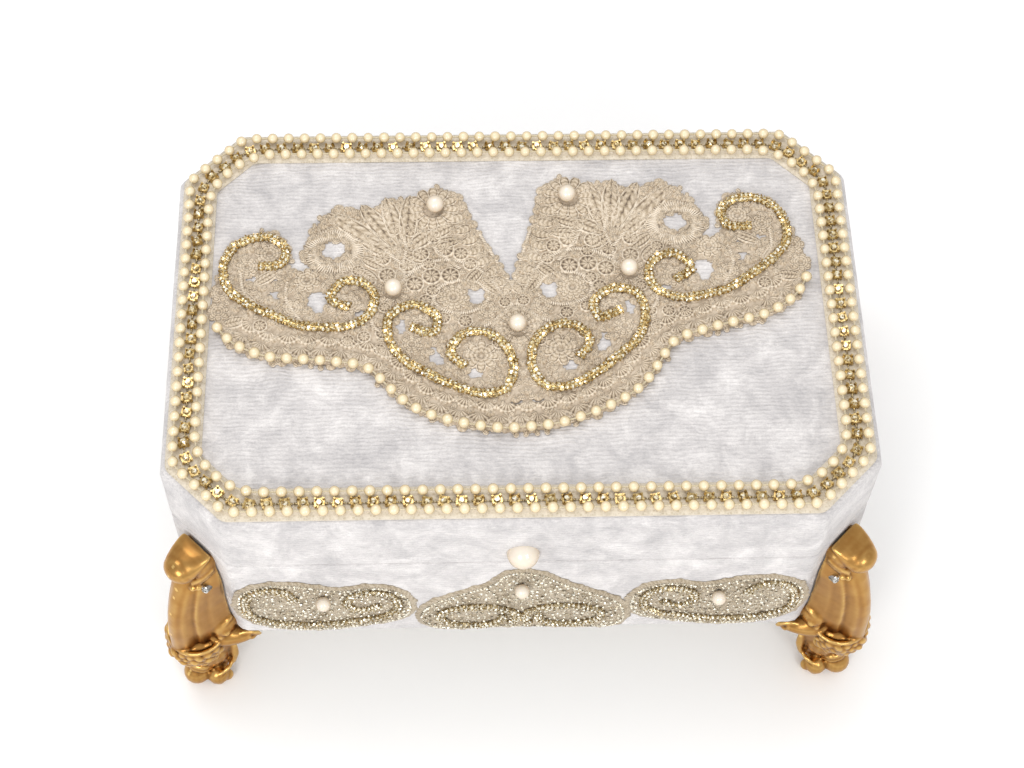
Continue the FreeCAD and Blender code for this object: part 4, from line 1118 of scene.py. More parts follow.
def stitched_cord(path, width, pitch=0.95, closed=False, slant=25):
    """Places of the satin stitches that cross a cord from end to end."""
    run = smooth_path(path, closed, pitch)
    ahead = np.roll(run, -1, axis=0) if closed else np.vstack([run[1:], 2 * run[-1:] - run[-2:-1]])
    places = []
    for point, following in zip(run, ahead):
        direction = math.degrees(math.atan2(following[1] - point[1], following[0] - point[0]))
        places.append((point[0], point[1], direction + slant, 1.1, width))
    return places


def fans_along(path, inwards, pitch, radius, start=0.0):
    """Shells in a row beside a path, opening towards it."""
    run = smooth_path(path, False, 0.5)
    moved = shifted(run, inwards)
    places = []
    position = start
    along = np.r_[0, np.cumsum(np.linalg.norm(np.diff(moved, axis=0), axis=1))]
    while position < along[-1]:
        x, y = (np.interp(position, along, moved[:, k]) for k in (0, 1))
        u, v = (np.interp(position, along, run[:, k]) for k in (0, 1))
        direction = math.degrees(math.atan2(v - y, u - x))
        places.append((x, y, direction, radius, radius))
        position += pitch
    return places


def inside_polygon(points, polygon):
    x, y = points[:, 0], points[:, 1]
    inside = np.zeros(len(points), bool)
    for (x1, y1), (x2, y2) in zip(polygon, np.roll(polygon, -1, axis=0)):
        crosses = (y1 > y) != (y2 > y)
        inside ^= crosses & (x < (x2 - x1) * (y - y1) / (y2 - y1 + 1e-12) + x1)
    return inside


def thread_ground(name, outline, openings, to_place, thickness, cell=1.0):
    """The worked thread ground: small cells inside the outline and off the openings."""
    outline = np.array(outline)
    lowest, highest = outline.min(axis=0), outline.max(axis=0)
    columns, rows = (int((highest[k] - lowest[k]) / cell) + 1 for k in (0, 1))
    centres = np.array([[lowest[0] + (i + 0.5) * cell, lowest[1] + (j + 0.5) * cell]
                        for j in range(rows) for i in range(columns)])
    keep = inside_polygon(centres, outline)
    for across, up, half_width, half_height in openings:
        for side in (1, -1):
            beside = (centres[:, 0] - side * across) / half_width
            above = (centres[:, 1] - up) / half_height
            keep &= beside ** 2 + above ** 2 > 1
    grid = keep.reshape(rows, columns)
    for _ in range(3):
        rising = grid[:-1, :-1] & grid[1:, 1:] & ~grid[:-1, 1:] & ~grid[1:, :-1]
        falling = grid[:-1, 1:] & grid[1:, :-1] & ~grid[:-1, :-1] & ~grid[1:, 1:]
        grid[:-1, 1:] |= rising
        grid[:-1, :-1] |= falling
    keep = grid.ravel()
    random = np.random.default_rng(5)
    numbers, flat, faces = {}, [], []

    def corner(i, j):
        if (i, j) not in numbers:
            numbers[(i, j)] = len(flat)
            shift = random.uniform(-0.25, 0.25, 2) * cell
            flat.append((lowest[0] + i * cell + shift[0], lowest[1] + j * cell + shift[1]))
        return numbers[(i, j)]

    for index in np.flatnonzero(keep):
        i, j = index % columns, index // columns
        faces.append([corner(i, j), corner(i + 1, j), corner(i + 1, j + 1), corner(i, j + 1)])
    count = len(flat)
    lift = random.uniform(0.0, 0.35, count)
    places = to_place(flat, lift, thickness)
    edges = {}
    for f in faces:
        for a, b in zip(f, f[1:] + f[:1]):
            edges[(a, b)] = True
    walls = [[b, a, a + count, b + count] for a, b in edges if (b, a) not in edges]
    backs = [[v + count for v in f[::-1]] for f in faces]
    mesh = mesh_from(name, places, faces + backs + walls)
    # crest value for painted light: raised cells are painted lighter and the back is painted as shade
    crest_highlight = list(np.clip(0.2 + lift * 1.6, 0, 1)) + [0.0] * count
    if len(mesh.vertices) == len(crest_highlight):
        mesh.attributes.new("crest_highlight", "FLOAT", "POINT").data.foreach_set("value", crest_highlight)
    return outward(mesh)


def lid_outline():
    """The lid lace's edge, right half then left half."""
    half = [tuple(p) for p in smooth_path(LACE_TOP_EDGE, False, 1.0)]
    lower_half = [tuple(p) for p in shifted(smooth_path(SWAG, False, 1.0), -0.5)][::-1]
    right = half + lower_half
    return right + [(-x, y) for x, y in right[::-1]]


def filling_stitches(outline, openings, taken, spacing, sizes, seed):
    """Small motifs that fill the ground wherever no larger one lies.

    taken holds (across, up, radius) of the larger motifs; returns places.
    """
    random = np.random.default_rng(seed)
    outline = np.array(outline)
    lowest, highest = outline.min(axis=0), outline.max(axis=0)
    area = (highest - lowest).prod()
    tries = random.uniform(lowest, highest, (int(14 * area / spacing ** 2), 2))
    tries = tries[inside_polygon(tries, outline)]
    places = []
    spots = np.array(taken, float).reshape(-1, 3)
    for across, up in tries:
        if any(((across - a) / w) ** 2 + ((up - b) / h) ** 2 < 1.15 for a, b, w, h in openings):
            continue
        near = np.hypot(spots[:, 0] - across, spots[:, 1] - up) < spots[:, 2] + 0.42 * spacing
        if near.any():
            continue
        size = random.uniform(*sizes)
        places.append((across, up, random.uniform(0, 360), size, size))
        spots = np.vstack([spots, [across, up, 0.42 * spacing]])
    return places


def lid_ground_mesh():
    outline = lid_outline()

    def to_place(flat, lift, thickness):
        base = low("lid_lace", 2)
        top = [(x, y, base + thickness + up) for (x, y, _), up in zip(on_lid(flat, 0), lift)]
        back = [(x, y, base) for x, y, _ in on_lid(flat, 0)]
        return top + back
    return thread_ground("lid_lace_ground", outline, LACE_OPENINGS, to_place, 0.35)


def lid_lace():
    """The embroidered lace: a thread ground, flowers, leaves, eyelets, shells and cords."""
    ground = new_piece("lid_lace_ground", lid_ground_mesh(), LID, LACE_GROUND, ["lid_lace"])
    petals, leaves = [], []
    for across, up, count, inner, length, width in FLOWERS:
        for i in range(count):
            angle = 360 * i / count + 11 * across
            x = across + inner * math.cos(math.radians(angle))
            y = up + inner * math.sin(math.radians(angle))
            petals.append((x, y, angle, length, width))
    for a0, b0, a1, b1, width in LEAVES:
        angle = math.degrees(math.atan2(b1 - b0, a1 - a0))
        leaves.append((a0, b0, angle, math.hypot(a1 - a0, b1 - b0), width))
    petals += EDGE_PETALS
    eyelets = [(a, b, 37 * a, r, r) for a, b, r in EYELETS]
    fans = fans_along(SWAG, 7.6, 8.6, 6.3, 4.0) + fans_along(SWAG, 13.8, 8.6, 5.2, 0.5)
    cords = []
    for path in STEMS:
        cords += stitched_cord(path, 2.1)
    for across, up, half_width, half_height, width in RINGS:
        cords += stitched_cord(ellipse(across, up, half_width, half_height), width, 0.95, True, 8)
    cords += stitched_cord(shifted(smooth_path(SWAG, False, 3.0), 2.6), 1.8)
    top_edge = smooth_path(LACE_TOP_EDGE[:3], False, 3.0)
    cords += stitched_cord(top_edge, 1.8)
    middle = []
    for i in range(16):
        angle = 360 * i / 16
        (x, y, z), = on_lid([(4.0 * math.cos(math.radians(angle)), 4.0 * math.sin(math.radians(angle)))],
                            STITCHED_AT)
        middle.append(((x, y, z), (0, 0, math.radians(angle) + APPLIQUE_TURN), (7.2, 3.2, 1.0)))
    taken = [(a, b, inner + 0.8 * length) for a, b, _, inner, length, _ in FLOWERS]
    taken += [(a, b, 0.8 * r) for a, b, r in EYELETS] + [(a, b, 2.0) for a, b, _, _, _ in fans]
    taken += [(a + 0.5 * (a1 - a), b + 0.5 * (b1 - b), 2.5) for a, b, a1, b1, _ in LEAVES]
    right_half = [(max(x, 0.0), y) for x, y in lid_outline() if x >= 0]
    fillers = filling_stitches(right_half, LACE_OPENINGS, taken, 4.6, (1.9, 2.7), 21)
    seeds = filling_stitches(right_half, LACE_OPENINGS, taken, 3.1, (2.6, 3.6), 22)
    petals += [(a, b, turn, size, 0.7 * size) for a, b, turn, size, _ in seeds]
    parts = [
        sewn_on("fillers", KNOT, mirrored(fillers), LACE),
        sewn_on("petals", PETAL, mirrored(petals) + middle, LACE),
        sewn_on("leaves", LEAF, mirrored(leaves), LACE),
        sewn_on("eyelets", DISC, mirrored(eyelets), LACE),
        sewn_on("fans", FAN, mirrored(fans), LACE),
        sewn_on("cords", STITCH, mirrored(cords), LACE),
    ]
    work = new_piece("lid_lace_embroidery", joined("lid_lace_embroidery", parts), LID, None,
                     ["lid_lace"])


lid_lace()


# ---------------------------------------------------------------- scrolls, swag and pearls


def chain(name, path, base_height, width, cup_finish, stone_finish, to_place, pitch=2.1):
    """Rhinestone cup chain sewn in two close rows over a metallic cord."""
    run = smooth_path(path, False, 0.8)
    parts = []
    for row, sideways in enumerate((-0.27 * width, 0.27 * width)):
        line = to_place(shifted(run, sideways), base_height)
        count = round(path_length(line) / pitch) + row
        for motif, finish in ((SMALL_CUP, cup_finish), (SMALL_STONE, stone_finish)):
            parts.append(strand(name, line, False, motif, count, finish, 0.16, 0.5))
    cord = tube_mesh(name, to_place(run, base_height - 0.35), 0.42 * width, 6)
    cord.materials.append(cup_finish)
    return joined(name, parts + [cord])


def scrolls():
    kinds = [(place, path, side) for place, path in (("outer", OUTER_SCROLL), ("inner", INNER_SCROLL))
             for side in (1, -1)]
    for place, path, side in kinds:
        node = place + ("_scroll_right" if side == 1 else "_scroll_left")
        base = low(node, 2) + 0.5
        mesh = chain(node, path, base, 3.4, GOLD_CUP, GOLD_STONE,
                     lambda run, height, side=side: on_lid(run, height, side))
        new_piece(node + "_chain", mesh, LID, None, [node])


def swag():
    height = (low("pearl_swag", 2) + high("pearl_swag", 2)) / 2
    right = smooth_path(SWAG, False, 1.5)
    whole = np.vstack([right[::-1] * [-1, 1], right[1:]])
    points = on_lid(whole, height)
    count = round(path_length(points) / SWAG_PITCH) + 1
    strung_pearls("pearl_swag", points, False, count, height)


scrolls()
swag()


# ---------------------------------------------------------------- front motifs


def stood_up(mesh, middle):
    """Turn a piece made lying flat so that it lies on the front wall, its up along Z."""
    for v in mesh.vertices:
        x, y, z = v.co
        v.co = (x + middle * MM, FRONT * MM - z, y)
    return mesh


def lying(points, height):
    return [(p[0], p[1], height) for p in points]


def oval_turns(across, up, half_width, half_height, turns, shrink, start=0.0, sign=1):
    """An oval spiral that winds inwards."""
    count = int(40 * turns)
    points = []
    for i in range(count + 1):
        share = i / count
        angle = start + sign * 2 * math.pi * turns * share
        size = 1 - shrink * share ** 1.4
        points.append((across + half_width * size * math.cos(angle),
                       up + half_height * size * math.sin(angle)))
    return points


# Lace outlines and chains on the front as (across from the motif's middle, height).
SIDE_LACE = [
    (-37.5, 82), (-34, 93), (-24, 99), (-12, 99), (-2, 95.5), (8, 93), (19, 96), (29, 94),
    (36, 85), (37, 72), (31, 63.5), (18, 58.5), (2, 54.5), (-15, 54.5), (-29, 60), (-36, 70),
]
MIDDLE_LACE = [
    (-44, 65), (-39, 78), (-26, 88), (-13, 97), (-7, 106), (1, 109), (10, 105), (18, 97), (30, 88),
    (42, 78), (46, 64), (42, 54), (30, 52.5), (4, 54), (-16, 53.5), (-28, 52.5), (-39, 55),
]
SIDE_CHAIN = [
    (-13, 87), (-17, 94), (-25, 96), (-32, 91), (-34.5, 81), (-33, 71), (-26, 64), (-13, 60.5),
    (1, 60.5), (13, 63.5), (24, 67), (31, 74), (32, 84), (27, 91), (19, 92.5), (12.5, 89),
    (10, 82), (13, 76), (19, 75.5), (23, 79),
]
MOTIF_AT = 86.0
SIDE_PEARL, MIDDLE_PEARL = 88.0, 98.0
SIDE_MOTIF_AREA, MIDDLE_MOTIF_AREA = 0.00285, 0.00385


def front_motif(name, middle, outline, chains, blooms, leaves):
    """One motif of the front: lace, oval chains of rhinestones and a pearl's flower."""
    def to_place(flat, lift, thickness):
        top = [(x, y, 0.08 + thickness + up) for (x, y), up in zip(flat, lift)]
        return top + [(x, y, 0.08) for x, y in flat]
    closed = [tuple(p) for p in smooth_path(outline, True, 1.0)]
    ground = stood_up(thread_ground(name, closed, [], to_place, 0.3), middle)
    ground_piece = new_piece("front_lace_ground_" + name, ground, BOX, FRONT_LACE,
                             ["front_lace_" + name])
    shoulder = 0.3
    petals = []
    for across, up, count, inner, length, width in blooms:
        for i in range(count):
            angle = 2 * math.pi * i / count + across
            place = (across + inner * math.cos(angle), up + inner * math.sin(angle), shoulder)
            petals.append((place, (0, 0, angle), (length, width, 0.8)))
    stitched = []
    for across, up, degrees, length, width in leaves:
        stitched.append(((across, up, shoulder), (0, 0, math.radians(degrees)), (length, width, 0.8)))
    knots = filling_stitches(closed, [], [], 2.5, (1.2, 1.9), 31)
    knots += [(x, y, 40 * i, 2.9 + 0.5 * (i % 3), 2.9)
              for i, (x, y) in enumerate(smooth_path(outline, True, 2.3))]
    chips = filling_stitches(closed, [], [], 2.6, (0.45, 0.8), 32)
    chips += [(x, y, 50 * i, 0.6, 0.6) for i, (x, y) in enumerate(smooth_path(outline, True, 1.7))]
    knot_places = [((x, y, 0.2), (0, 0, math.radians(d)), (w, h, 0.7)) for x, y, d, w, h in knots]
    chip_places = [((x, y, 0.75), (0.4, 0.3, math.radians(d)), (w, h, w)) for x, y, d, w, h in chips]
    parts = [
        sewn_on("petals", PETAL, petals, FRONT_LACE),
        sewn_on("leaves", LEAF, stitched, FRONT_LACE),
        sewn_on("knots", KNOT, knot_places, FRONT_LACE),
        sewn_on("chips", SMALL_STONE, chip_places, CLEAR_STONE),
    ]
    work = new_piece("front_lace_work_" + name, stood_up(joined("work", parts), middle), BOX, None,
                     ["front_lace_" + name])
    chain_parts = []
    for path in chains:
        chain_parts.append(chain("front", path, 1.2, 3.0, SILVER_CUP, CLEAR_STONE, lying, 2.3))
    new_piece("front_chain_" + name + "_stones", stood_up(joined("stones", chain_parts), middle), BOX, None,
              ["front_chain_" + name])
    return ground_piece, work


def front_motifs():
    side_blooms = [(0, SIDE_PEARL - 3.5, 10, 3.2, 3.8, 2.8), (21, 84, 7, 0.5, 3.6, 3.0),
                   (-24, 80, 9, 2.5, 4.0, 3.2), (-10, 70, 7, 0.5, 3.6, 3.0), (6, 70, 7, 0.5, 3.6, 3.0)]
    side_leaves = [(8, 84, -30, 14, 5), (-10, 82, 200, 14, 5), (18, 70, 25, 12, 4.4),
                   (-22, 70, 160, 12, 4.4), (-2, 76, 90, 10, 5)]
    mirrored_outline = [(-x, y) for x, y in SIDE_LACE]
    mirrored_chain = [(-x, y) for x, y in SIDE_CHAIN]
    mirrored_blooms = [(-x, *rest) for x, *rest in side_blooms]
    mirrored_leaves = [(-x, y, 180 - d, length, width) for x, y, d, length, width in side_leaves]
    middle_chains = []
    for side in (-1, 1):
        oval = oval_turns(20.0, 65.5, 18.5, 11.5, 1.1, 0.35, math.pi * 1.16, -1)
        middle_chains.append([(side * x, y) for x, y in oval])
    middle_blooms = [(0, MIDDLE_PEARL - 4, 11, 3.3, 4.2, 3.0), (0, 80, 8, 1.5, 4.0, 3.2),
                     (15, 87, 7, 0.5, 3.8, 3.0), (-15, 87, 7, 0.5, 3.8, 3.0), (21, 66, 9, 1.8, 4.0, 3.0),
                     (-21, 66, 9, 1.8, 4.0, 3.0)]
    middle_leaves = [(0, 100, 90, 8, 5), (6, 98, 40, 8, 4), (-6, 98, 140, 8, 4), (10, 88, -40, 16, 5),
                     (-10, 88, 220, 16, 5), (30, 82, -20, 12, 4), (-30, 82, 200, 12, 4)]
    sheets = [
        (front_motif("left", -MOTIF_AT, SIDE_LACE, [SIDE_CHAIN], side_blooms, side_leaves),
         0.078, 0.046, SIDE_MOTIF_AREA),
        (front_motif("right", MOTIF_AT, mirrored_outline, [mirrored_chain], mirrored_blooms,
                     mirrored_leaves), 0.078, 0.046, SIDE_MOTIF_AREA),
        (front_motif("middle", 0.0, MIDDLE_LACE, middle_chains, middle_blooms, middle_leaves),
         0.091, 0.058, MIDDLE_MOTIF_AREA),
    ]


front_motifs()


# ---------------------------------------------------------------- cast feet


def cast_gold():
    """Zinc casting with satin gold lacquer, with painted shade making it dark brown in the hollows and a
    painted highlight making it bright on the high parts.
    """
    material, tree = new_material("satin_gold_casting")
    geometry = add(tree, "ShaderNodeNewGeometry")
    # painted light from pointiness: hollows get painted shade, high parts a painted highlight
    painted_shade_and_highlight = add(tree, "ShaderNodeMapRange", {
        "Value": geometry.outputs["Pointiness"], "From Min": 0.44, "From Max": 0.56}).outputs[0]
    tone = noise(tree, object_space(tree), 6.0, 3.0)
    mixed = maths(tree, "ADD", maths(tree, "MULTIPLY", painted_shade_and_highlight, 0.8), maths(tree, "MULTIPLY", tone, 0.2))
    fine = noise(tree, object_space(tree), 0.8, 2.0)
    finish_material(tree, {
        "Base Color": ramp(tree, mixed, [(0.22, "#553718"), (0.5, "#A97B42"), (0.82, "#E2BC74")]),
        "Metallic": 1.0,
        "Roughness": blend_value(tree, tone, 0.24, 0.36),
        "Normal": bump(tree, fine, 0.05, 0.4),
    })
    return material


CAST_GOLD = cast_gold()


def lump(centre, radii, turn=(0, 0, 0)):
    """Points and faces of an ellipsoid."""
    columns, rows = 16, 9
    around_x, around_y, around_z = (Matrix.Rotation(angle, 3, axis) for angle, axis in zip(turn, "XYZ"))
    spin = around_z @ around_y @ around_x
    points, faces = [], []
    for r in range(1, rows):
        for c in range(columns):
            lift, around = math.pi * r / rows, 2 * math.pi * c / columns
            place = Vector((radii[0] * math.sin(lift) * math.cos(around),
                            radii[1] * math.sin(lift) * math.sin(around), radii[2] * math.cos(lift)))
            points.append(Vector(centre) + spin @ place)
    faces = grid_faces(rows - 1, columns)
    points += [Vector(centre) + spin @ Vector((0, 0, sign * radii[2])) for sign in (1, -1)]
    top, bottom = len(points) - 2, len(points) - 1
    for c in range(columns):
        following = (c + 1) % columns
        faces.append([c, top, following])
        faces.append([(rows - 2) * columns + c, (rows - 2) * columns + following, bottom])
    return points, faces


def horn(path, radii, sides=12):
    """A tapering rounded rope, such as a scroll or a leaf's curled edge."""
    run = smooth_path(path, False, 0.9)
    share = np.linspace(0, 1, len(run))
    thick = np.interp(share, np.linspace(0, 1, len(radii)), radii)
    return tube(run, thick, sides)


def lofted(rings):
    """Points and faces through closed rings of equal count, with flat ends."""
    count = len(rings[0])
    points = [p for ring in rings for p in ring]
    faces = grid_faces(len(rings), count)
    faces += [list(range(count))[::-1], [(len(rings) - 1) * count + k for k in range(count)]]
    return points, faces


def shin_rings():
    """Cross-sections of the leg: a rounded shin with soft flutes down both sides."""
    heights = [18, 24, 35, 47, 59, 68, 76.5, 85, 93.5, 100, 106, 110]
    ridge = [19.0, 22.0, 25.2, 26.4, 26.0, 25.2, 23.6, 21.0, 17.4, 13.6, 12.0, 10.0]
    half = [9.0, 9.6, 10.8, 12.6, 12.6, 11.8, 11.4, 11.6, 12.0, 11.2, 10.0, 9.0]
    behind = [1.5, 1.0, -1.0, -1.5, 0.6, 0.6, 0.6, 0.6, 0.6, 0.6, 0.6, 0.6]
    rings = []
    for z in np.arange(18.0, 110.1, 1.5):
        front, width, back = (np.interp(z, heights, values) for values in (ridge, half, behind))
        fluting = np.interp(z, [30, 46, 60, 80, 94, 101], [0.5, 1.0, 1.0, 1.0, 0.5, 0.0])
        ring = []
        for t in np.linspace(-1, 1, 49):
            share = abs(t)
            u = back + (front - back) * (1 - share ** 2.1) ** 0.72
            grooves = 2.8 * math.exp(-((share - 0.56) / 0.075) ** 2)
            grooves += 1.6 * math.exp(-((share - 0.80) / 0.055) ** 2)
            grooves += 0.5 * math.exp(-((share - 0.30) / 0.09) ** 2)
            ring.append((max(u - grooves * fluting, back + 0.9), t * width, z))
        ring += [(back, width, z), (back, 0, z), (back, -width, z)]
        rings.append(ring)
    return rings


def crest_rings():
    """The scroll at the top of the foot: wide at the wall, swelling outwards, curled under."""
    # Out from the wall, up, half width, half height.
    stations = [(1.2, 114.6, 8.8, 1.6), (3.0, 114.4, 8.9, 2.1), (5.5, 113.4, 8.9, 3.3),
                (8.5, 111.5, 8.7, 4.8), (11.4, 109.3, 8.2, 6.0), (13.2, 106.6, 7.2, 5.4),
                (12.8, 104.2, 5.8, 3.8), (10.8, 103.2, 3.6, 1.8)]
    run = np.array([(u, z) for u, z, _, _ in stations], float)
    tangent = np.gradient(run, axis=0)
    rings = []
    for (u, z, half_width, half_height), (du, dz) in zip(stations, tangent):
        length = math.hypot(du, dz)
        normal = (-dz / length, du / length)
        ring = []
        for k in range(24):
            angle = 2 * math.pi * k / 24
            out = half_height * math.sin(angle)
            ring.append((u + normal[0] * out, half_width * math.cos(angle), z + normal[1] * out))
        rings.append(ring)
    return rings


def flower_band():
    """The relief band round the ankle: rows of small buds and curled petals under a rope rim."""
    random = np.random.default_rng(3)
    solids = []

    def at(angle, z, grow):
        reach = np.interp(z, [28, 33, 39, 46], [8.6, 12.4, 14.0, 12.8]) + grow
        side = np.interp(z, [28, 33, 39, 46], [8.6, 10.6, 12.0, 12.8]) + grow
        sink = 1.8 * (1 - math.cos(angle))
        return (12.2 + reach * math.cos(angle), side * math.sin(angle), z + sink)
    rim = [at(math.radians(a), 45.5, 0.4) for a in range(-96, 97, 8)]
    solids.append(horn(rim, [1.0, 1.2, 1.2, 1.0], 8))
    for row, z in enumerate((42.6, 39.4, 36.2, 33.2, 30.4)):
        step = 17.0
        for k in range(-6, 7):
            angle = math.radians(k * step + (step / 2 if row % 2 else 0))
            if abs(angle) > 1.7:
                continue
            size = random.uniform(1.6, 2.6)
            if (k + row) % 3:
                solids.append(lump(at(angle, z, 0.2), (size, size, size * random.uniform(0.8, 1.2))))
            else:
                solids.append(horn([at(angle - 0.13, z + 1.4, -0.3), at(angle - 0.05, z + 0.3, 0.9),
                                    at(angle + 0.06, z - 1.2, 1.3), at(angle + 0.15, z - 1.9, 0.7)],
                                   [1.1, 1.9, 1.8, 0.9], 8))
    solids.append(lump((13.2, 0, 36.5), (13.0, 11.4, 7.4)))
    solids.append(lump((12.4, 0, 42.5), (13.0, 12.6, 8.5)))
    return solids


def foot_solids():
    """All the modelled parts of one foot: out of the corner, across it, and up."""
    solids = [lofted(shin_rings()), lofted(crest_rings())] + flower_band()
    solids.append(lump((12.6, 0, 108.9), (6.4, 7.7, 6.2), (0, 0.5, 0)))
    solids.append(lump((8.6, 0, 20.0), (9.6, 9.8, 13.5)))
    solids.append(lump((5.2, 0, 12.5), (6.4, 9.6, 11.0)))
    solids.append(lump((18.4, 0, 6.6), (6.6, 6.4, 6.6)))
    for lift, out in ((15.4, 0.0), (13.2, 0.7)):
        solids.append(horn([(13 + out, -6.0, lift - 1.5), (17.6 + out, -4.4, lift),
                            (19.6 + out, 0, lift + 0.4),
                            (17.6 + out, 4.4, lift), (13 + out, 6.0, lift - 1.5)],
                           [0.8, 1.3, 1.6, 1.3, 0.8]))
    for s in (-1, 1):
        for drop, out in ((0.0, 0.0), (2.0, -0.2)):
            solids.append(horn([(2.6, 9.8 * s, 107.4 - drop), (6.0, 9.2 * s, 106.0 - drop),
                                (9.6 + out, 7.4 * s, 103.0 - drop), (11.8 + out, 5.6 * s, 100.0 - drop)],
                               [0.8, 1.2, 1.4, 0.9], 8))
        solids.append(lump((4.4, 6.4 * s, 108.0), (6.0, 3.4, 6.6)))
        solids.append(lump((10.6, 8.0 * s, 98.6), (1.7, 1.7, 1.5)))
        solids.append(lump((12.6, 6.4 * s, 98.0), (1.5, 1.5, 1.4)))
        for drop, out in ((0.0, 0.0), (2.0, 0.5)):
            solids.append(horn([(1.0, 12.6 * s, 60.0 - drop), (4.6 + out, 12.6 * s, 59.2 - drop),
                                (8.0 + out, 11.6 * s, 56.4 - drop), (10.0 + out, 10.2 * s, 52.4 - drop)],
                               [0.9, 1.5, 1.7, 1.0], 8))
        solids.append(lump((4.0, 10.6 * s, 53.5), (7.0, 4.4, 7.5)))
        solids.append(lump((6.4, 13.6 * s, 53.2), (2.3, 2.3, 2.2)))
        solids.append(lump((8.8, 12.2 * s, 50.2), (2.0, 2.0, 1.9)))
        solids.append(horn([(9.0, 7.0 * s, 46.0), (5.0, 12.0 * s, 45.4), (0.8, 15.8 * s, 45.4),
                            (-3.0, 18.8 * s, 46.4)],
                           [6.2, 5.6, 4.6, 3.4]))
        for drop, out in ((0.0, 0.0), (2.0, -0.6)):
            solids.append(horn([(1.6 + out, 17.0 * s, 49.4 - drop), (-1.6 + out, 19.4 * s, 49.2 - drop),
                                (-4.4 + out, 21.2 * s, 47.4 - drop), (-5.4 + out, 21.6 * s, 45.0 - drop)],
                               [0.6, 1.1, 1.3, 0.9], 8))
        solids.append(lump((-2.6, 20.0 * s, 44.2), (1.9, 1.9, 1.8)))
        solids.append(lump((0.0, 18.0 * s, 43.0), (1.7, 1.7, 1.5)))
        solids.append(lump((12.4, 7.6 * s, 5.6), (5.6, 5.2, 5.6), (0, 0, 0.4 * s)))
        solids.append(lump((13.6, 9.4 * s, 3.4), (2.8, 2.6, 3.4)))
        solids.append(lump((9.4, 10.6 * s, 3.2), (2.8, 2.4, 3.2)))
        solids.append(horn([(4.6, 10.4 * s, 12.6), (9.0, 11.4 * s, 11.8), (13.4, 10.4 * s, 9.6)],
                           [0.8, 1.3, 0.8], 8))
        solids.append(horn([(2.0, 9.4 * s, 26.0), (3.0, 10.6 * s, 19.0), (5.0, 10.8 * s, 12.0)],
                           [1.6, 2.0, 1.2]))
    return solids


def foot_mesh():
    """The foot's parts fused into one smooth skin."""
    points, faces = [], []
    for solid_points, solid_faces in foot_solids():
        first = len(points)
        points += [tuple(p) for p in solid_points]
        faces += [[i + first for i in f] for f in solid_faces]
    rough = outward(mesh_from("foot_rough", points, faces))
    lump_object = bpy.data.objects.new("foot_rough", rough)
    bpy.context.scene.collection.objects.link(lump_object)
    remesh = lump_object.modifiers.new("fuse", "REMESH")
    remesh.mode = "VOXEL"
    remesh.voxel_size = 0.55 * MM
    relax = lump_object.modifiers.new("relax", "SMOOTH")
    relax.factor, relax.iterations = 0.5, 9
    skin = as_built(lump_object)
    bpy.data.objects.remove(lump_object)
    for v in skin.vertices:
        v.co.z = max(v.co.z, 0.0)
    skin.shade_smooth()
    return skin


ZINC = metal("bright_zinc_plate", "#8E8E8C", "#E4E4E1", 0.22, 4.0)
SCREW_ACROSS, SCREW_OUT, SCREW_LEVEL = 9.2, 8.4, 95.5  # where a screw's head sits on the foot
SCREW_RADIUS, SCREW_CROWN = 2.1, 1.3
SCREW_TIPPED, SCREW_SPLAYED = -20, 12  # degrees, up and to the side
SLOT_HALF_WIDTH, SLOT_HALF_LENGTH, SLOT_DEPTH = 0.3, 1.35, 0.6


def screw_head_mesh():
    """A pan head with a cross slot, its axis along X."""
    rings, sides = 12, 48
    points = []
    for i in range(rings + 1):
        share = i / rings
        for k in range(sides):
            angle = 2 * math.pi * k / sides
            y, z = (SCREW_RADIUS * share * f(angle) for f in (math.cos, math.sin))
            crown = SCREW_CROWN * math.sqrt(1 - 0.75 * share ** 2)
            arm, across = max(abs(y), abs(z)), min(abs(y), abs(z))
            if across < SLOT_HALF_WIDTH and arm < SLOT_HALF_LENGTH:
                crown -= SLOT_DEPTH
            points.append((crown, y, z))
    points += [(-2.5, SCREW_RADIUS * math.cos(2 * math.pi * k / sides),
                SCREW_RADIUS * math.sin(2 * math.pi * k / sides)) for k in range(sides)]
    faces = grid_faces(rings + 2, sides)
    faces.append([(rings + 1) * sides + k for k in range(sides)])
    mesh = outward(mesh_from("screw_head", points, faces))
    mesh.shade_flat()
    return mesh


def feet():
    pattern = foot_mesh()
    head = screw_head_mesh()
    heads = []
    centre = Vector((HALF_LONG - CORNER_CUT / 2, HALF_DEEP - CORNER_CUT / 2, 0)) * MM
    for name, angle in (("front_left", 225), ("front_right", 315), ("rear_right", 45), ("rear_left", 135)):
        turn = math.radians(angle)
        mesh = pattern.copy()
        corner = Vector((math.copysign(centre.x, math.cos(turn)),
                         math.copysign(centre.y, math.sin(turn)), 0))
        standing = Matrix.Translation(corner) @ Matrix.Rotation(turn, 4, "Z")
        mesh.transform(standing)
        new_piece("cast_foot_" + name, mesh, BOX, CAST_GOLD, ["foot_" + name])
        for side in (-1, 1):
            screw = head.copy()
            place = Matrix.Translation(Vector((SCREW_OUT, side * SCREW_ACROSS, SCREW_LEVEL)) * MM)
            tipped = Matrix.Rotation(math.radians(SCREW_TIPPED), 4, "Y")
            splayed = Matrix.Rotation(math.radians(SCREW_SPLAYED * side), 4, "Z")
            screw.transform(standing @ place @ tipped @ splayed)
            heads.append(screw)
    new_piece("foot_screw_heads", joined("foot_screw_heads", heads), BOX, ZINC,
              ["foot_screws"])


feet()


# ---------------------------------------------------------------- inside: satin and padding


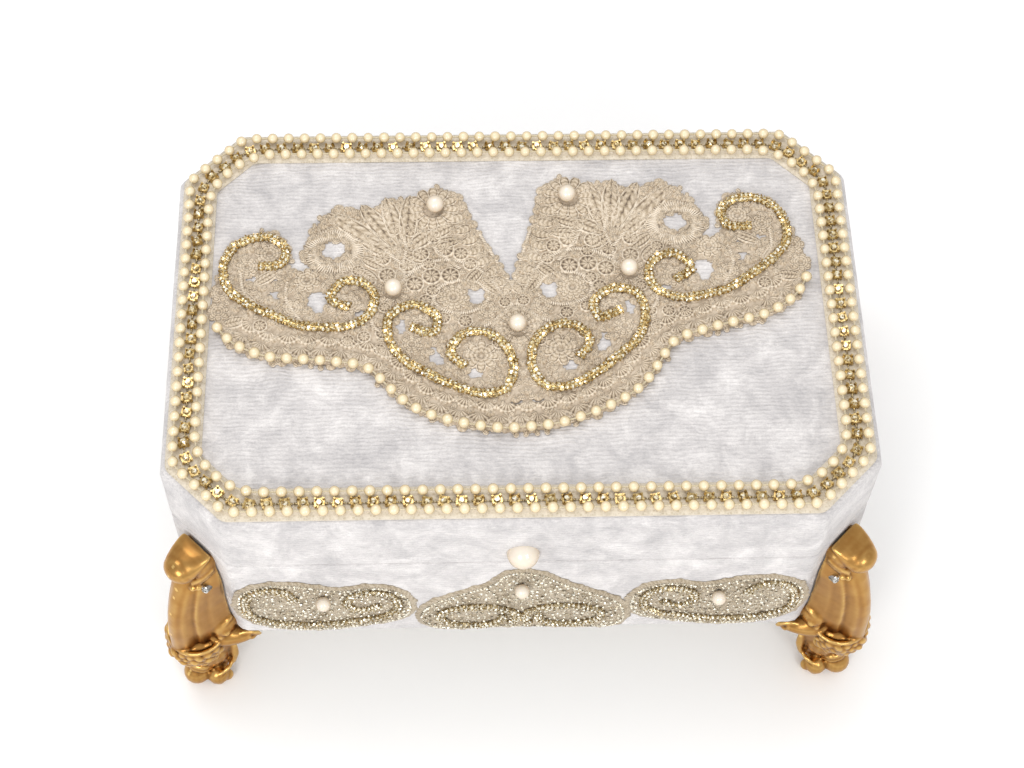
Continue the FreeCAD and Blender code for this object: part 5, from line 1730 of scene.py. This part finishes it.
def satin():
    """Polyester satin: long floats of thread along one way, a soft bright sheen across them."""
    material, tree = new_material("ivory_satin")
    threads = noise(tree, object_space(tree, (1, 1, 0.12)), 0.6, 2.0, 0.6)
    cloud = noise(tree, object_space(tree), 24.0, 2.0)
    finish_material(tree, {
        "Base Color": ramp(tree, cloud, [(0.3, "#E4D9CB"), (0.7, "#F1E9DE")]),
        "Roughness": blend_value(tree, threads, 0.32, 0.48),
        "Anisotropic": 0.5,
        "Specular IOR Level": 0.55,
        "Sheen Weight": 0.3,
        "Normal": bump(tree, threads, 0.12, 0.5),
    })
    return material


def felt():
    """Grey-white wool felt: short matted fibres with no direction."""
    material, tree = new_material("wool_felt")
    fibres = noise(tree, object_space(tree), 1.2, 5.0, 0.75, 1.0)
    finish_material(tree, {
        "Base Color": ramp(tree, fibres, [(0.3, "#C9C2B6"), (0.7, "#E3DDD3")]),
        "Roughness": 0.95,
        "Specular IOR Level": 0.1,
        "Sheen Weight": 0.5,
        "Normal": bump(tree, fibres, 0.6, 0.8),
    })
    return material


def fibreboard():
    """Medium density fibreboard with a sawn edge: even brown, finely speckled."""
    material, tree = new_material("fibreboard")
    flecks = noise(tree, object_space(tree), 0.9, 4.0, 0.7)
    finish_material(tree, {
        "Base Color": ramp(tree, flecks, [(0.3, "#8A6A48"), (0.7, "#B08F66")]),
        "Roughness": 0.8,
        "Normal": bump(tree, flecks, 0.2, 0.5),
    })
    return material


SATIN, FELT, BOARD = satin(), felt(), fibreboard()
BRASS = metal("bright_brass_plate", "#A9802F", "#DDBB66", 0.28, 5.0)


def lining(name, node, piece_name, puff):
    """Satin glued round the inside of the walls, softly padded, with a turned edge."""
    bottom, top = low(node, 2), high(node, 2)
    outer, inner = 6.25, 6.9
    profile = [(outer, bottom), (outer, top), (outer + 0.35, top + 0.05), (inner, top - 0.4)]
    steps = 12
    for step in range(1, steps):
        share = step / steps
        swell = puff * math.sin(math.pi * share) ** 0.6
        profile.append((inner + swell, top - 0.4 - (top - bottom - 0.6) * share))
    profile.append((inner, bottom))
    mesh = outward(swept_round_box(piece_name, profile, 300, radius=2.0))
    piece = new_piece(piece_name, mesh, name, SATIN, [node])
    return piece


def pad_mesh(node, inset, crown_up):
    """A cushion's shape before it is filled: domed in the middle, thin at its edge."""
    bottom, top = low(node, 2), high(node, 2)
    thick = top - bottom
    profile = [(inset, 0.35), (inset - 0.25, 0.5), (inset, 0.65), (inset + 1.2, 0.82), (inset + 4, 0.95),
               (inset + 12, 1.0)]
    around = 200
    rows = []
    start, sign = (bottom, 1) if crown_up else (top, -1)
    for gap, share in [(inset + 2.0, 0.02)] + profile:
        rows += [(x, y, start + sign * share * thick) for x, y in outline_loop(gap, 3.0, count=around)]
    last = rows[-around:]
    rings = 14
    for ring in range(1, rings):
        rows += [(x * (1 - ring / rings), y * (1 - ring / rings), z) for x, y, z in last]
    faces = grid_faces(len(rows) // around, around)
    rows.append((0, 0, start + sign * thick))
    first = len(rows) - 1 - around
    faces += [[first + i, first + (i + 1) % around, len(rows) - 1] for i in range(around)]
    faces.append(list(range(around))[::-1])
    mesh = mesh_from(node + "_pad", rows, faces)
    return outward(mesh)


def filled(mesh, cap_mm, floor_side, limit_mm):
    """Fill a cushion by cloth simulation: remesh, inflate, cap the travel and smooth."""
    thing = bpy.data.objects.new("filling", mesh)
    bpy.context.scene.collection.objects.link(thing)
    remesh = thing.modifiers.new("even", "REMESH")
    remesh.mode, remesh.voxel_size = "VOXEL", 2.5 * MM
    even = as_built(thing)
    thing.modifiers.clear()
    thing.data = even
    start = np.empty(len(even.vertices) * 3)
    even.vertices.foreach_get("co", start)
    start = start.reshape(-1, 3)
    moved = start.copy()
    cloth = thing.modifiers.new("fill", "CLOTH")
    cloth.settings.use_pressure = True
    cloth.settings.uniform_pressure_force = 4.0
    cloth.settings.effector_weights.gravity = 0.0
    cloth.settings.quality = 5
    cloth.point_cache.frame_start, cloth.point_cache.frame_end = 1, 20
    for frame_number in range(1, 21):
        bpy.context.scene.frame_set(frame_number)
    result = thing.evaluated_get(bpy.context.evaluated_depsgraph_get()).to_mesh()
    moved = np.empty(len(result.vertices) * 3)
    result.vertices.foreach_get("co", moved)
    moved = moved.reshape(-1, 3)
    thing.modifiers.clear()
    bpy.context.scene.frame_set(1)
    travel = moved - start
    length = np.linalg.norm(travel, axis=1)
    most = cap_mm * MM
    travel *= np.minimum(1.0, most / np.maximum(length, 1e-9))[:, None]
    ended = start + travel
    if floor_side > 0:
        ended[:, 2] = np.maximum(ended[:, 2], limit_mm * MM)
    else:
        ended[:, 2] = np.minimum(ended[:, 2], limit_mm * MM)
    even.vertices.foreach_set("co", ended.ravel())
    smooth = thing.modifiers.new("smooth", "SUBSURF")
    smooth.levels = smooth.render_levels = 1
    finished = as_built(thing)
    bpy.data.objects.remove(thing)
    finished.shade_smooth()
    return finished


def inside():
    lining(BOX, "body_lining", "body_satin", 0.7)
    lining(LID, "lid_lining", "lid_satin", 0.5)
    floor = filled(pad_mesh("floor_pad", 7.6, True), 1.6, 1, low("floor_pad", 2))
    cushion = new_piece("floor_cushion", floor, BOX, SATIN, ["floor_pad"])
    ceiling = filled(pad_mesh("lid_inner_pad", 7.6, False), 1.2, -1, high("lid_inner_pad", 2))
    padding = new_piece("ceiling_cushion", ceiling, LID, SATIN, ["lid_inner_pad"])


def base_felt():
    """Felt glued under the base, its cut edge just inside the velvet."""
    bottom, top = low("base_cloth", 2), high("base_cloth", 2)
    around = 260
    rows = []
    for inset, height in ((3.0, top), (1.6, top), (1.5, bottom + 0.2), (1.8, bottom), (6.0, bottom)):
        rows += [(x, y, height) for x, y in outline_loop(inset, 3.0, count=around)]
    for ring in range(1, 12):
        rows += [(x * (1 - ring / 12), y * (1 - ring / 12), z) for x, y, z in rows[4 * around:5 * around]]
    faces = grid_faces(len(rows) // around, around)
    rows += [(0, 0, bottom), (0, 0, top)]
    first = len(rows) - 2 - around
    faces += [[first + i, first + (i + 1) % around, len(rows) - 2] for i in range(around)]
    faces += [[(i + 1) % around, i, len(rows) - 1] for i in range(around)]
    piece = new_piece("base_felt", outward(mesh_from("base_felt", rows, faces)), BOX, FELT,
                      ["base_cloth"])


inside()
base_felt()


# ---------------------------------------------------------------- CAD nodes that keep their shape

KEPT = {
    WHITE_PEARL: ["accent_pearls", "front_pearls", "pull_pearl"],
    BRASS: [part + side for part in ("hinge_body_leaf_", "hinge_lid_leaf_", "hinge_pin_")
            for side in ("left", "right")] + ["hinge_screws_body", "hinge_screws_lid", "pull_stud"],
    BOARD: [part + side for part in ("body_", "lid_") for side in
            ("front_board", "back_board", "left_board", "right_board", "corner_boards")]
           + ["base_board", "lid_top_board"],
}
for finish, nodes in KEPT.items():
    for node in nodes:
        kept = bpy.data.objects[node]
        kept.data.materials.clear()
        kept.data.materials.append(finish)


# ---------------------------------------------------------------- finish

for thing in PROTOTYPES:
    bpy.data.objects.remove(thing)
